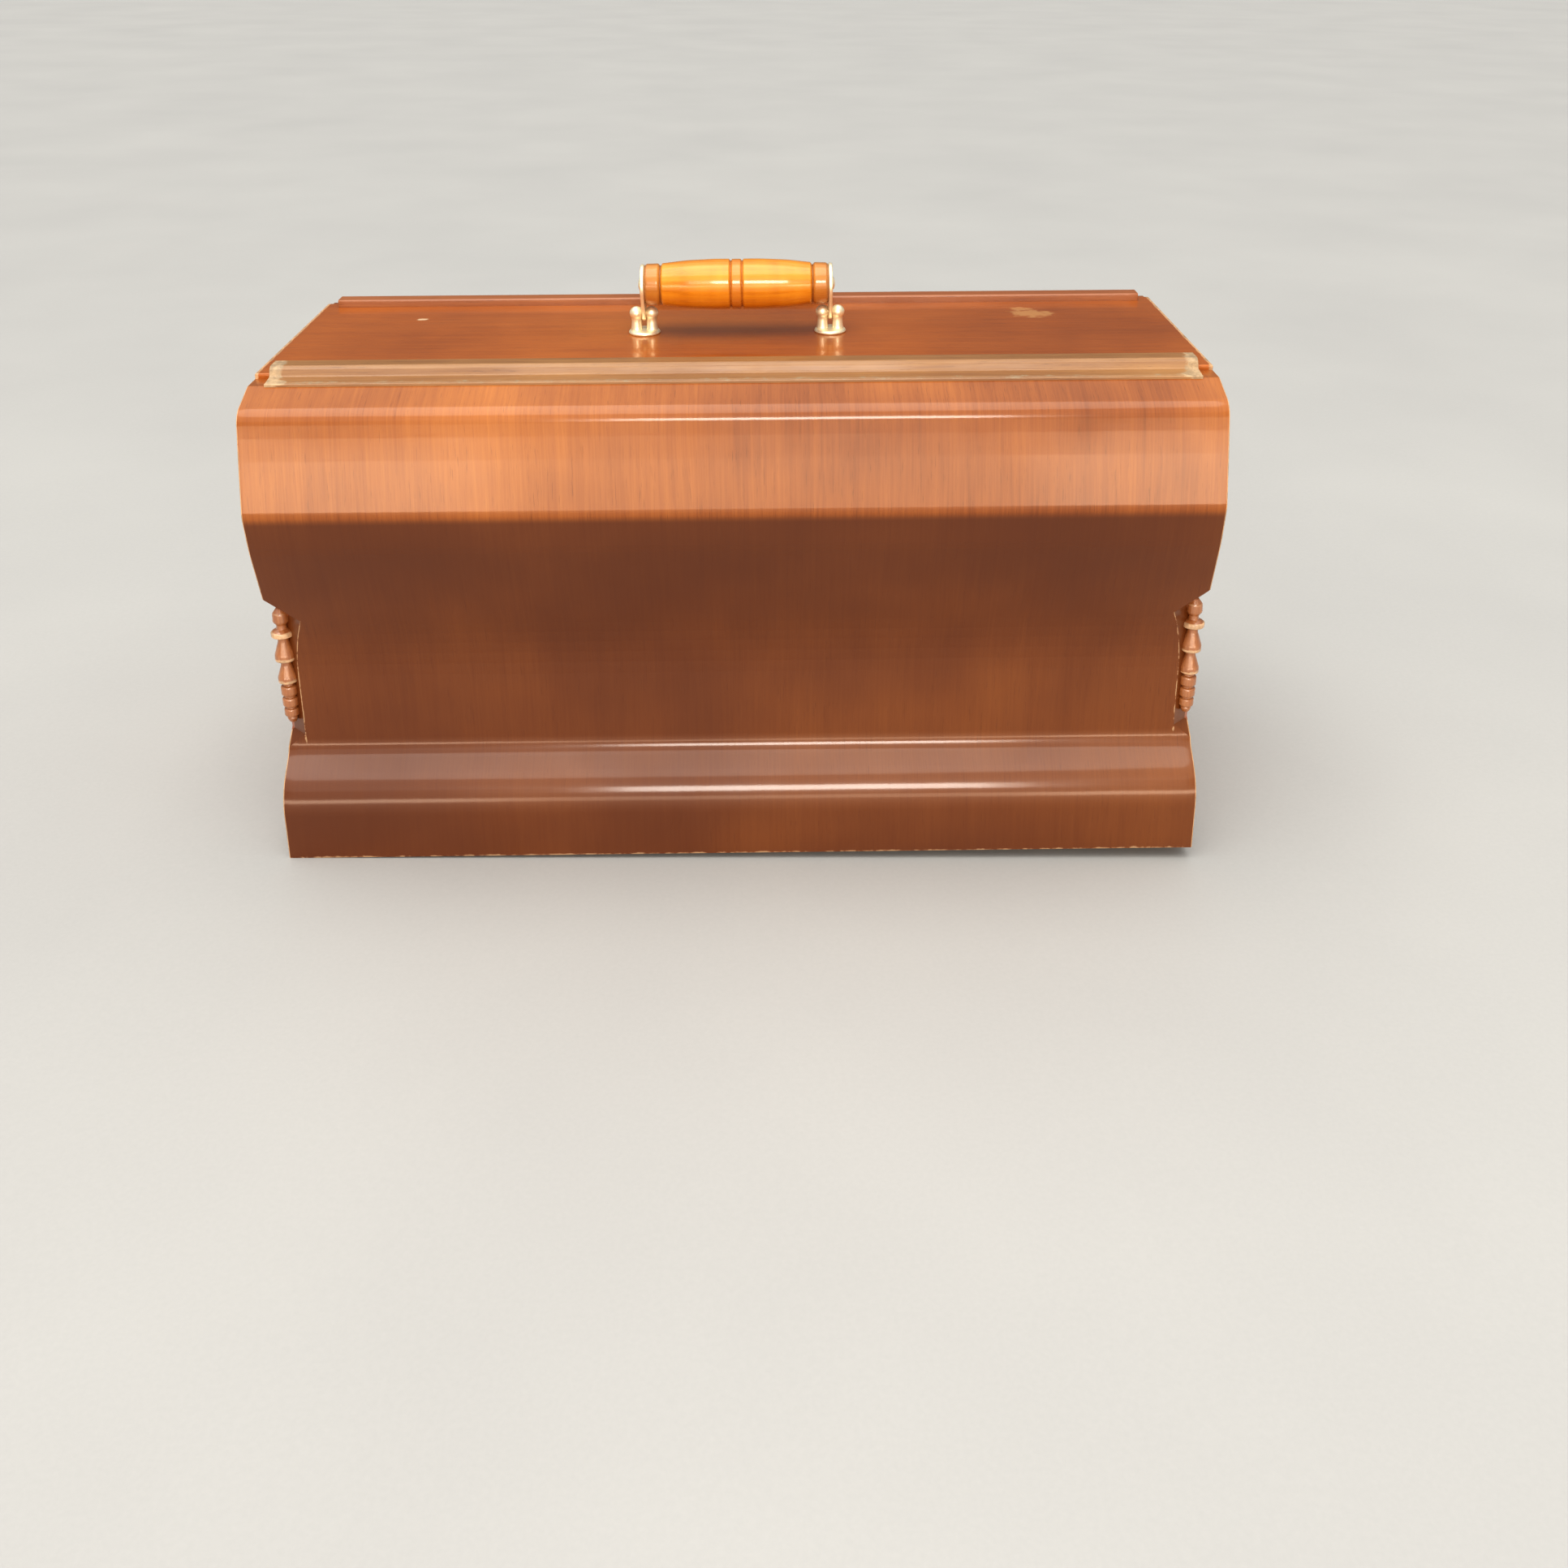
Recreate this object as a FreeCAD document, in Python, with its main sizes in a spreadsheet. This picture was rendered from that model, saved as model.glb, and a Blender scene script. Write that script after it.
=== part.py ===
import FreeCAD, Part
import math
import os

import Sketcher

# Lift-off wooden cover for a hand machine: two shaped long sides, two flat end
# boards, a flat top with a stepped moulding along each long edge, turned split
# columns in the corners, a bail handle with a turned grip, a half-mortise lock
# in the left end and two fixed hooks under the right end.
#
# Frame: +X along the length (lock end at -X, hook end at +X), the front faces -Y,
# +Z up.  z = 0 is the level of the hook tips, the rim is hook_drop above it, and
# the origin is under the middle of the cover.  Heights written as z_* below are
# measured from the rim; offsets are measured inwards from the widest line of the
# long side.  Millimetres.

V = FreeCAD.Vector
doc = FreeCAD.newDocument("machine_cover")

DIMS = [
    ("length_all", 556.0),      # over the end faces
    ("depth_all", 270.0),       # over the widest lines of the long sides
    ("hook_drop", 8.0),         # hooks below the rim
    ("panel_t", 9.0),           # shaped sides
    ("end_t", 15.0),            # end boards
    ("foot_off", 6.0), ("foot_z", 44.0), ("foot_rad", 30.0),
    ("neck_off", 30.5), ("cove_z", 62.5), ("cove_rad", 14.0),
    ("neck_z", 131.0), ("neck_rad", 110.0),
    ("roll_off", 4.6), ("roll_z", 204.0), ("roll_rad", 90.0),
    ("arris_z", 227.0), ("arris_rad", 2.0),
    ("face_off", 6.3), ("face_z", 258.0), ("face_rad", 120.0),
    ("shoulder_off", 12.6), ("shoulder_z", 284.5), ("shoulder_rad", 12.0),
    ("crest_off", 37.5), ("crest_z", 293.3), ("tab_off", 52.0),
    ("top_z", 296.4),           # upper face of the top board
    ("mould_out", 36.2), ("mould_in", 63.1), ("mould_top", 301.2), ("mould_inset", 9.9),
    ("base_rail_w", 20.0), ("base_rail_tall", 27.0),
    ("notch_leg", 11.0), ("notch_low", 72.0), ("notch_high", 152.0),
    ("column_inset", 3.6), ("column_rad", 6.8),
    ("post_x", 58.2),           # handle brackets from the middle
    ("pivot_up", 12.8),         # pivot above the top
    ("arm_long", 18.1),         # pivot to the axis of the grip
    ("arm_t", 2.4), ("arm_eye_rad", 12.6), ("arm_foot_rad", 4.6),
    ("grip_half", 57.0), ("grip_rad", 15.5), ("grip_end_rad", 12.75), ("rod_rad", 2.5),
    ("flange_rad", 10.0), ("flange_t", 2.2), ("ball_rad", 3.9), ("ball_x", 4.8),
    ("slot_half", 1.5), ("pin_rad", 1.5), ("pin_play", 0.06), ("stud_rad", 2.5),
    ("batten_t", 9.0), ("washer_t", 1.2), ("nut_t", 4.0),
    ("lock_half", 30.0), ("lock_tall", 32.0), ("lock_wall", 1.2), ("lock_plate_t", 2.0),
    ("key_z", 23.0), ("key_rad", 3.2), ("bolt_travel", 9.0),
    ("hook_y", 76.0), ("hook_plate_half", 22.0), ("hook_plate_t", 2.5),
]

dims = doc.addObject("Spreadsheet::Sheet", "dims")
D = {}
for row, (alias, value) in enumerate(DIMS, 1):
    dims.set("A%d" % row, alias)
    dims.set("B%d" % row, repr(value))
    dims.setAlias("B%d" % row, alias)
    D[alias] = value
doc.recompute()


class E:
    """A length: a constant plus multiples of sheet cells, as a value and as an expression."""

    def __init__(self, const=0.0, **cells):
        self.const, self.cells = float(const), {k: float(v) for k, v in cells.items()}

    @property
    def v(self):
        return self.const + sum(D[k] * f for k, f in self.cells.items())

    @property
    def s(self):
        terms = ["%.6g * dims.%s" % (f, k) for k, f in self.cells.items()]
        if self.const or not terms:
            terms.append("%.6g" % self.const)
        return " + ".join(terms)

    def __add__(self, o):
        o = o if isinstance(o, E) else E(o)
        cells = dict(self.cells)
        for k, f in o.cells.items():
            cells[k] = cells.get(k, 0.0) + f
        return E(self.const + o.const, **cells)

    def __mul__(self, k):
        return E(self.const * k, **{c: f * k for c, f in self.cells.items()})

    def __neg__(self):
        return self * -1.0

    def __sub__(self, o):
        return self + (-(o if isinstance(o, E) else E(o)))


def num(x):
    return x if isinstance(x, E) else E(x)


def c(alias, factor=1.0, const=0.0):
    return E(const, **{alias: factor})


def bind(obj, prop, e):
    e = num(e)
    setattr(obj, prop, e.v)
    if e.cells:
        obj.setExpression(prop, e.s)


def place(obj, x=0.0, y=0.0, z=0.0, rot=None):
    x, y, z = num(x), num(y), num(z)
    obj.Placement = FreeCAD.Placement(V(x.v, y.v, z.v), rot or FreeCAD.Rotation())
    for axis, e in (("x", x), ("y", y), ("z", z)):
        if e.cells:
            obj.setExpression("Placement.Base." + axis, e.s)


def plane(body, role):
    for o in body.Origin.OriginFeatures:
        if o.Role == role:
            return o


def new_body(label):
    b = doc.addObject("PartDesign::Body", label)
    b.Label = label
    return b


def new_sketch(body, role, name):
    sk = body.newObject("Sketcher::SketchObject", name)
    sk.AttachmentSupport = [(plane(body, role), "")]
    sk.MapMode = "FlatFace"
    return sk


def pin_point(sk, geo, pos, ex, ey):
    """Ties a sketch point to the sketch origin with one horizontal and one vertical distance."""
    for kind, axis, e in (("DistanceX", -2, num(ex)), ("DistanceY", -1, num(ey))):
        if abs(e.v) < 1e-9 and not e.cells:
            sk.addConstraint(Sketcher.Constraint("PointOnObject", geo, pos, axis))
            continue
        i = sk.addConstraint(Sketcher.Constraint(kind, -1, 1, geo, pos, e.v))
        if e.cells:
            name = "d%d" % i
            sk.renameConstraint(i, name)
            sk.setExpression("Constraints." + name, e.s)


def corner(a, b, d, r):
    """Tangent points, centre and sense of a corner of radius r at b between a and d."""
    u = (a - b).normalize()
    w = (d - b).normalize()
    ang = math.acos(max(-1.0, min(1.0, u.dot(w))))
    t = r / math.tan(ang / 2)
    mid = (u + w).normalize()
    centre = b + mid * (r / math.sin(ang / 2))
    ccw = (b - a).cross(d - b).z > 0
    return b + u * t, b + w * t, centre, ccw


def loop(sk, verts, parallels=None, gap=None, construction=False, closed=True):
    """Adds a loop of lines with rounded corners.

    verts: (x, y, radius) with x, y and radius as numbers or E; x and y None-tied
    vertices are given as (value, value, radius, "free"), and the lines on them are
    tied instead by parallels: {line index: (outer line, vertex end)} at distance gap.
    Returns the ids of the lines.
    """
    n = len(verts)
    P = [V(num(v[0]).v, num(v[1]).v, 0) for v in verts]
    R = [num(v[2]) if v[2] else None for v in verts]
    free = [len(v) > 3 for v in verts]
    tang = {}
    for i in range(n):
        if R[i] is not None and (closed or 0 < i < n - 1):
            tang[i] = corner(P[i - 1], P[i], P[(i + 1) % n], R[i].v)
    lines = []
    count = n if closed else n - 1
    for i in range(count):
        j = (i + 1) % n
        a = tang[i][1] if i in tang else P[i]
        b = tang[j][0] if j in tang else P[j]
        lines.append(sk.addGeometry(Part.LineSegment(a, b), construction))
    for i in range(n):
        if not closed and i in (0, n - 1):
            if not free[i]:
                pin_point(sk, lines[0] if i == 0 else lines[-1], 1 if i == 0 else 2, verts[i][0], verts[i][1])
            continue
        before, after = lines[i - 1], lines[i % count]
        if i in tang:
            t0, t1, centre, ccw = tang[i]
            a0 = math.atan2(t0.y - centre.y, t0.x - centre.x)
            a1 = math.atan2(t1.y - centre.y, t1.x - centre.x)
            if not ccw:
                a0, a1 = a1, a0
            arc = sk.addGeometry(Part.ArcOfCircle(Part.Circle(centre, V(0, 0, 1), R[i].v), a0, a1), construction)
            first, last = (1, 2) if ccw else (2, 1)
            sk.addConstraint(Sketcher.Constraint("Tangent", before, 2, arc, first))
            sk.addConstraint(Sketcher.Constraint("Tangent", after, 1, arc, last))
            k = sk.addConstraint(Sketcher.Constraint("Radius", arc, R[i].v))
            if R[i].cells:
                sk.renameConstraint(k, "d%d" % k)
                sk.setExpression("Constraints.d%d" % k, R[i].s)
            if not free[i]:
                p = sk.addGeometry(Part.Point(P[i]), True)
                sk.addConstraint(Sketcher.Constraint("PointOnObject", p, 1, before))
                sk.addConstraint(Sketcher.Constraint("PointOnObject", p, 1, after))
                pin_point(sk, p, 1, verts[i][0], verts[i][1])
        else:
            sk.addConstraint(Sketcher.Constraint("Coincident", before, 2, after, 1))
            if not free[i]:
                pin_point(sk, after, 1, verts[i][0], verts[i][1])
    for i, outer in (parallels or {}).items():
        sk.addConstraint(Sketcher.Constraint("Parallel", lines[i], outer))
        k = sk.addConstraint(Sketcher.Constraint("Distance", lines[i], 1, outer, num(gap).v))
        if num(gap).cells:
            sk.renameConstraint(k, "d%d" % k)
            sk.setExpression("Constraints.d%d" % k, num(gap).s)
    return lines


def pad(body, sk, length, midplane=False, reverse=False, name="pad"):
    p = body.newObject("PartDesign::Pad", name)
    p.Profile = sk
    bind(p, "Length", length)
    p.Midplane = midplane
    p.Reversed = reverse
    sk.Visibility = False
    return p


def pocket(body, sk, length=None, reverse=False, midplane=False, name="pocket"):
    p = body.newObject("PartDesign::Pocket", name)
    p.Profile = sk
    if length is None:
        p.Type = "ThroughAll"
    else:
        bind(p, "Length", length)
    p.Midplane = midplane
    p.Reversed = reverse
    return p


def revolve(body, sk, axis="V_Axis", name="turning"):
    r = body.newObject("PartDesign::Revolution", name)
    r.Profile = sk
    r.ReferenceAxis = (sk, [axis])
    r.Angle = 360.0
    return r


def box(name, x0, x1, y0, y1, z0, z1):
    b = doc.addObject("Part::Box", name)
    x0, x1, y0, y1, z0, z1 = (num(q) for q in (x0, x1, y0, y1, z0, z1))
    bind(b, "Length", x1 - x0)
    bind(b, "Width", y1 - y0)
    bind(b, "Height", z1 - z0)
    place(b, x0, y0, z0)
    return b


AXES = {
    "z": FreeCAD.Rotation(),
    "x": FreeCAD.Rotation(V(0, 1, 0), 90),
    "-x": FreeCAD.Rotation(V(0, 1, 0), -90),
    "-z": FreeCAD.Rotation(V(1, 0, 0), 180),
    "y": FreeCAD.Rotation(V(1, 0, 0), -90),
}


def cylinder(name, rad, tall, x, y, z, axis="z"):
    b = doc.addObject("Part::Cylinder", name)
    bind(b, "Radius", rad)
    bind(b, "Height", tall)
    place(b, x, y, z, AXES[axis])
    return b


def cone(name, r1, r2, tall, x, y, z, axis="z"):
    b = doc.addObject("Part::Cone", name)
    bind(b, "Radius1", r1)
    bind(b, "Radius2", r2)
    bind(b, "Height", tall)
    place(b, x, y, z, AXES[axis])
    return b


def fuse(name, parts):
    f = doc.addObject("Part::MultiFuse", name)
    f.Shapes = parts
    f.Refine = True
    return f


def cut(name, base, tools):
    tool = tools[0] if len(tools) == 1 else fuse(name + "_tools", tools)
    f = doc.addObject("Part::Cut", name)
    f.Base = base
    f.Tool = tool
    return f


def group(name, parts):
    f = doc.addObject("Part::Compound", name)
    f.Links = parts
    return f


nodes = {}


def node(name, obj):
    obj.Label = name
    nodes[name] = obj
    return obj


Z = c("hook_drop")                     # height of the rim
HALF_L = c("length_all", 0.5)
HALF_D = c("depth_all", 0.5)
TOP = Z + c("top_z")                   # upper face of the top board
UNDER = Z + c("crest_z") - c("panel_t")  # under the top board and the side's upper lip

# ---------------------------------------------------------------- long sides
# Section from the rim upwards: a straight foot, an ogee up to the neck, the neck,
# a long cove out to the widest line, a face that leans back, a tight shoulder and
# a shallow slope up to the lip that carries the top board's edge and the moulding.
OUTER = [
    (c("foot_off"), E(0), None),
    (c("foot_off"), c("foot_z"), c("foot_rad")),
    (c("neck_off"), c("cove_z"), c("cove_rad")),
    (c("neck_off"), c("neck_z"), c("neck_rad")),
    (c("roll_off"), c("roll_z"), c("roll_rad")),
    (E(0), c("arris_z"), c("arris_rad")),
    (c("face_off"), c("face_z"), c("face_rad")),
    (c("shoulder_off"), c("shoulder_z"), c("shoulder_rad")),
    (c("crest_off"), c("crest_z"), None),
    (c("tab_off"), c("crest_z"), None),
]
# corner radii on the inner side: smaller where the side is convex, larger where hollow
INNER_R = [None, ("foot_rad", -1), ("cove_rad", 1), ("neck_rad", 1), ("roll_rad", -1), None,
           ("face_rad", -1), ("shoulder_rad", -1), None, None]


def offset_points(gap):
    """Inner polygon at a distance inside the outer one: first and last points end square."""
    P = [V(num(x).v, num(y).v, 0) for x, y, r in OUTER]
    lines = []
    for a, b in zip(P, P[1:]):
        d = (b - a).normalize()
        nrm = V(d.y, -d.x, 0)          # towards the inside of the cover
        lines.append((a + nrm * gap, d))
    Q = [V(lines[0][0].x, P[0].y, 0)]
    for (p, d), (q, e) in zip(lines, lines[1:]):
        den = d.x * e.y - d.y * e.x
        k = ((q.x - p.x) * e.y - (q.y - p.y) * e.x) / den
        Q.append(p + d * k)
    Q.append(V(P[-1].x, lines[-1][0].y, 0))
    return Q


def shaped_side(label, turn):
    body = new_body(label + "_blank")
    sk = new_sketch(body, "YZ_Plane", label + "_section")
    inner = offset_points(D["panel_t"])
    n = len(OUTER)
    verts = list(OUTER)
    for i in range(n - 1, -1, -1):
        r = INNER_R[i] and E(0, **{INNER_R[i][0]: 1, "panel_t": INNER_R[i][1]})
        verts.append((inner[i].x, inner[i].y, r, "free"))
    # lines 0..n-2 are the outer side, n-1 the lip's end, n..2n-2 the inner side, 2n-1 the rim;
    # the lines come first in the sketch, so outer line k pairs with inner line 2n-2-k
    ids = loop(sk, verts, parallels={2 * n - 2 - k: k for k in range(n - 1)}, gap=c("panel_t"))
    sk.addConstraint(Sketcher.Constraint("Vertical", ids[n - 1]))
    sk.addConstraint(Sketcher.Constraint("Horizontal", ids[2 * n - 1]))
    pad(body, sk, c("length_all"), midplane=True)
    if turn:
        place(body, 0, HALF_D, Z, FreeCAD.Rotation(V(0, 0, 1), 180))
    else:
        place(body, 0, -HALF_D, Z)
    return body


front_blank = shaped_side("front_panel", False)
back_blank = shaped_side("back_panel", True)

# --------------------------------------------------- stopped notches, corners
# Each corner has a 45 degree flat with sloping stops, cut through the side and
# the end board; a split turned column is glued on the flat.
notch = {}
for sx, sy, nm in ((-1, -1, "front_left"), (1, -1, "front_right"), (-1, 1, "back_left"), (1, 1, "back_right")):
    w = doc.addObject("Part::Wedge", "notch_" + nm)
    deep = 46.0
    for prop, e in (("Xmin", E(-40)), ("Xmax", E(40)), ("Ymin", E(0)), ("Ymax", E(deep)),
                    ("X2min", E(-40)), ("X2max", E(40)),
                    ("Zmin", c("notch_low")), ("Zmax", c("notch_high")),
                    ("Z2min", c("notch_low", 1, -deep)), ("Z2max", c("notch_high", 1, deep))):
        bind(w, prop, e)
    # the flat passes notch_leg inside the end face, level with the neck
    ang = math.degrees(math.atan2(sy, sx)) - 90
    place(w, (HALF_L - c("notch_leg")) * sx, (HALF_D - c("neck_off")) * sy, Z, FreeCAD.Rotation(V(0, 0, 1), ang))
    notch[nm] = w

node("front_panel", cut("front_panel", front_blank, [notch["front_left"], notch["front_right"]]))
node("back_panel", cut("back_panel", back_blank, [notch["back_left"], notch["back_right"]]))


# ----------------------------------------------------------------- end boards
def end_blank(label):
    """Half of the outline from the rim to the underside of the top, mirrored."""
    body = new_body(label + "_blank")
    sk = new_sketch(body, "YZ_Plane", label + "_outline")
    gap = c("panel_t", 1, 0.1)
    n = len(OUTER)
    guide = []
    for x, y, r in OUTER:
        guide.append((-HALF_D + x, y, r))
    guide_lines = loop(sk, guide, construction=True, closed=False)
    inner = offset_points(gap.v)
    first, last = 0, n - 2             # stops under the lip
    verts = []
    for i in range(first, last + 1):
        r = INNER_R[i] and E(0.1 * INNER_R[i][1], **{INNER_R[i][0]: 1, "panel_t": INNER_R[i][1]})
        verts.append((inner[i].x - HALF_D.v, inner[i].y, r, "free"))
    verts.append((0.0, inner[last].y, None, "free"))
    verts.append((0.0, 0.0, None, "free"))
    m = len(verts)
    par = {k: guide_lines[k] for k in range(0, last)}
    ids = loop(sk, verts, parallels=par, gap=gap)
    # top edge level under the lip, centre line upright on the axis, rim level
    sk.addConstraint(Sketcher.Constraint("Horizontal", ids[m - 3]))
    k = sk.addConstraint(Sketcher.Constraint("DistanceY", -1, 1, ids[m - 3], 2, inner[last].y))
    sk.renameConstraint(k, "top_edge")
    sk.setExpression("Constraints.top_edge", (c("crest_z") - gap).s)
    sk.addConstraint(Sketcher.Constraint("PointOnObject", ids[m - 2], 1, -2))
    sk.addConstraint(Sketcher.Constraint("Coincident", ids[m - 2], 2, -1, 1))
    sk.addConstraint(Sketcher.Constraint("Horizontal", ids[m - 1]))
    pad(body, sk, c("end_t"), midplane=True)
    doc.recompute()
    mir = body.newObject("PartDesign::Mirrored", label + "_mirror")
    mir.Originals = [body.Tip]
    mir.MirrorPlane = (plane(body, "XZ_Plane"), [""])
    body.Tip = mir
    return body


left_blank = end_blank("left_end_board")
place(left_blank, -HALF_L + c("end_t", 0.5), 0, Z)
right_blank = end_blank("right_end_board")
place(right_blank, HALF_L - c("end_t", 0.5), 0, Z)

OUT_X = -HALF_L                        # outer face of the lock end
IN_X = -HALF_L + c("end_t")            # its inner face

# seat for the half-mortise lock, cut from the inner face and open at the rim
lock_seat = box("lock_seat", IN_X - 9.7, IN_X + 1, -c("lock_half") - 0.4, c("lock_half") + 0.4, Z - 1, Z + c("lock_tall") + 2.4)
key_bore = cylinder("key_bore", c("key_rad"), 12, OUT_X - 1, 0, Z + c("key_z"), "x")


def oval(name, x, y, half, wide, z0, z1):
    """A flat plate with round ends, long along Y."""
    r = wide * 0.5
    a = box(name + "_mid", x - r, x + r, y - half + r, y + half - r, z0, z1)
    b = cylinder(name + "_end_a", r, num(z1) - z0, x, y - half + r, z0)
    d = cylinder(name + "_end_b", r, num(z1) - z0, x, y + half - r, z0)
    return fuse(name, [a, b, d])


PLATE_W = E(13.0)
LOCK_PLATE_X = -HALF_L + 8.0
lock_plate_seat = oval("lock_plate_seat", LOCK_PLATE_X, E(0), E(37.05), PLATE_W + 0.1, Z - 1, Z + c("lock_plate_t") + 0.05)


def wood_screw(name, x, y, z, rad, head, long, axis="z"):
    """Countersunk slotted screw: its head's flat is at z and the shank runs along axis."""
    d = {"z": (0, 0, 1), "-x": (-1, 0, 0), "x": (1, 0, 0)}[axis]
    x, y, z = num(x), num(y), num(z)
    sink = head - rad
    hd = cone(name + "_head", head, rad, sink, x, y, z, axis)
    sh = cylinder(name + "_shank", rad, long - sink - 2.0, x + d[0] * sink, y + d[1] * sink, z + d[2] * sink, axis)
    k = long - 2.0
    tip = cone(name + "_tip", rad, 0.3, 2.0, x + d[0] * k, y + d[1] * k, z + d[2] * k, axis)
    whole = fuse(name + "_whole", [hd, sh, tip])
    t = 0.45
    if axis == "z":
        slot = box(name + "_slot", x - head - 0.5, x + head + 0.5, y - t, y + t, z - 1, z + 0.7)
    else:
        s = d[0]
        slot = box(name + "_slot", x - (0.7 if s < 0 else 1), x + (1 if s < 0 else 0.7), y - t, y + t, z - head - 0.5, z + head + 0.5)
    return cut(name, whole, [slot])


LOCK_PLATE_SCREWS = [(LOCK_PLATE_X, s * 33.2) for s in (-1, 1)]
lock_plate_pilots = [cylinder("lock_plate_pilot_%d" % i, 1.25, 10.5, x, y, Z, "z") for i, (x, y) in enumerate(LOCK_PLATE_SCREWS)]
# ------------------------------------------------------------- hooks, right end
HOOK_X = HALF_L - 8.0
hook_seats, hook_pilots, hook_screws = [], [], []
for nm, sy in (("front", -1), ("back", 1)):
    y = c("hook_y", sy)
    hook_seats.append(oval("hook_seat_" + nm, HOOK_X, y, c("hook_plate_half") + 0.05, PLATE_W + 0.1, Z - 1, Z + c("hook_plate_t") + 0.05))
    for i, dy in enumerate((-15.0, 15.0)):
        hook_pilots.append(cylinder("hook_pilot_%s_%d" % (nm, i), 1.55, 20, HOOK_X, y + dy, Z, "z"))
        hook_screws.append(wood_screw("hook_screw_%s_%d" % (nm, i), HOOK_X, y + dy, Z, 1.5, 3.2, 18.0, "z"))
    plate_blank = oval("hook_plate_" + nm, HOOK_X, y, c("hook_plate_half"), PLATE_W, Z, Z + c("hook_plate_t"))
    # lug: a stem below the plate with a toe that points outwards, away from the lock
    hb = new_body("hook_lug_" + nm)
    sk = new_sketch(hb, "XZ_Plane", "hook_lug_section_" + nm)
    loop(sk, [
        (E(-3.2), c("hook_plate_t"), None), (E(-3.2), -c("hook_drop"), E(1.2)),
        (E(5.2), -c("hook_drop"), E(1.2)), (E(5.2), c("hook_drop", -1, 3.4), E(0.9)),
        (E(1.2), c("hook_drop", -1, 3.8), E(0.8)), (E(1.2), c("hook_plate_t"), None),
    ])
    pad(hb, sk, 13.0, midplane=True)
    place(hb, HOOK_X, y, Z)
    doc.recompute()
    countersinks = [cone("hook_sink_%s_%d" % (nm, i), 3.25, 1.55, 1.7, HOOK_X, y + dy, Z, "z") for i, dy in enumerate((-15.0, 15.0))]
    thru = [cylinder("hook_thru_%s_%d" % (nm, i), 1.55, 5, HOOK_X, y + dy, Z - 0.5, "z") for i, dy in enumerate((-15.0, 15.0))]
    node("hook_" + nm, cut("hook_" + nm, fuse("hook_whole_" + nm, [plate_blank, hb]), countersinks + thru))
node("hook_screws", group("hook_screws", hook_screws))
node("right_end_board", cut("right_end_board", right_blank,
     [notch["front_right"], notch["back_right"]] + hook_seats + hook_pilots))

# ------------------------------------------------------------------- top board
TAB = HALF_D - c("tab_off")
top_body = new_body("top_board_blank")
sk = new_sketch(top_body, "YZ_Plane", "top_section")
loop(sk, [(-TAB, c("crest_z") - c("panel_t"), None), (TAB, c("crest_z") - c("panel_t"), None),
          (TAB, c("top_z"), None), (-TAB, c("top_z"), None)])
pad(top_body, sk, c("length_all"), midplane=True)
place(top_body, 0, 0, Z)
stud_bores = [cylinder("stud_bore_%d" % i, c("stud_rad", 1, 0.15), 40, c("post_x", s), 0, TOP - 35, "z") for i, s in enumerate((-1, 1))]
node("top_board", cut("top_board", top_body, stud_bores))


# ------------------------------------------------------------------- mouldings
def moulding(label, turn):
    """Stepped strip that hides the joint between the side's lip and the top board."""
    body = new_body(label)
    sk = new_sketch(body, "YZ_Plane", label + "_section")
    slope = (D["crest_z"] - D["shoulder_z"]) / (D["crest_off"] - D["shoulder_off"])
    z_out = D["crest_z"] - slope * (D["crest_off"] - D["mould_out"])
    dz = z_out - D["crest_z"]
    loop(sk, [
        (c("mould_out"), c("crest_z", 1, dz), None),
        (c("mould_out"), c("crest_z", 1, 1.40), E(0.8)),
        (c("mould_out", 1, 1.7), c("crest_z", 1, 1.40), E(0.6)),
        (c("mould_out", 1, 1.95), c("crest_z", 1, 0.75), None),
        (c("mould_out", 1, 2.5), c("crest_z", 1, 1.40), E(0.3)),
        (c("mould_out", 1, 11.4), c("crest_z", 1, 2.35), E(1.8)),
        (c("mould_out", 1, 12.9), c("mould_top", 1, -1.5), E(1.6)),
        (c("mould_out", 1, 15.6), c("mould_top"), E(1.8)),
        (c("mould_in"), c("mould_top"), E(1.2)),
        (c("mould_in"), c("top_z"), None),
        (c("tab_off"), c("top_z"), None),
        (c("tab_off"), c("crest_z"), None),
        (c("crest_off"), c("crest_z"), None),
    ])
    pad(body, sk, E(0, length_all=1, mould_inset=-2), midplane=True)
    if turn:
        place(body, 0, HALF_D, Z, FreeCAD.Rotation(V(0, 0, 1), 180))
    else:
        place(body, 0, -HALF_D, Z)
    return body


node("front_top_moulding", moulding("front_top_moulding", False))
node("back_top_moulding", moulding("back_top_moulding", True))


# ------------------------------------------------------- base rails, glue blocks
def base_rail(label, s):
    body = new_body(label)
    sk = new_sketch(body, "YZ_Plane", label + "_section")
    near = E(0, foot_off=1, panel_t=1)
    far = near + c("base_rail_w")
    loop(sk, [(near, E(0), None), (far, E(0), None), (far, c("base_rail_tall", 1, -6), None),
              (far - 6, c("base_rail_tall"), None), (near, c("base_rail_tall"), None)])
    pad(body, sk, E(0, length_all=1, end_t=-2), midplane=True)
    if s > 0:
        place(body, 0, HALF_D, Z, FreeCAD.Rotation(V(0, 0, 1), 180))
    else:
        place(body, 0, -HALF_D, Z)
    return body


node("front_base_rail", base_rail("front_base_rail", -1))
node("back_base_rail", base_rail("back_base_rail", 1))

blocks = []
for i, (sx, sy) in enumerate(((-1, -1), (-1, 1), (1, -1), (1, 1))):
    body = new_body("glue_block_%d" % i)
    sk = new_sketch(body, "XZ_Plane", "glue_block_section_%d" % i)
    loop(sk, [(E(0), E(0), None), (E(20), E(0), None), (E(0), E(-20), None)])
    pad(body, sk, 55.0, midplane=True)
    rot = FreeCAD.Rotation() if sx < 0 else FreeCAD.Rotation(V(0, 0, 1), 180)
    place(body, (HALF_L - c("end_t")) * sx, 50.0 * sy, UNDER, rot)
    blocks.append(body)
node("glue_blocks", group("glue_blocks", blocks))

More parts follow.
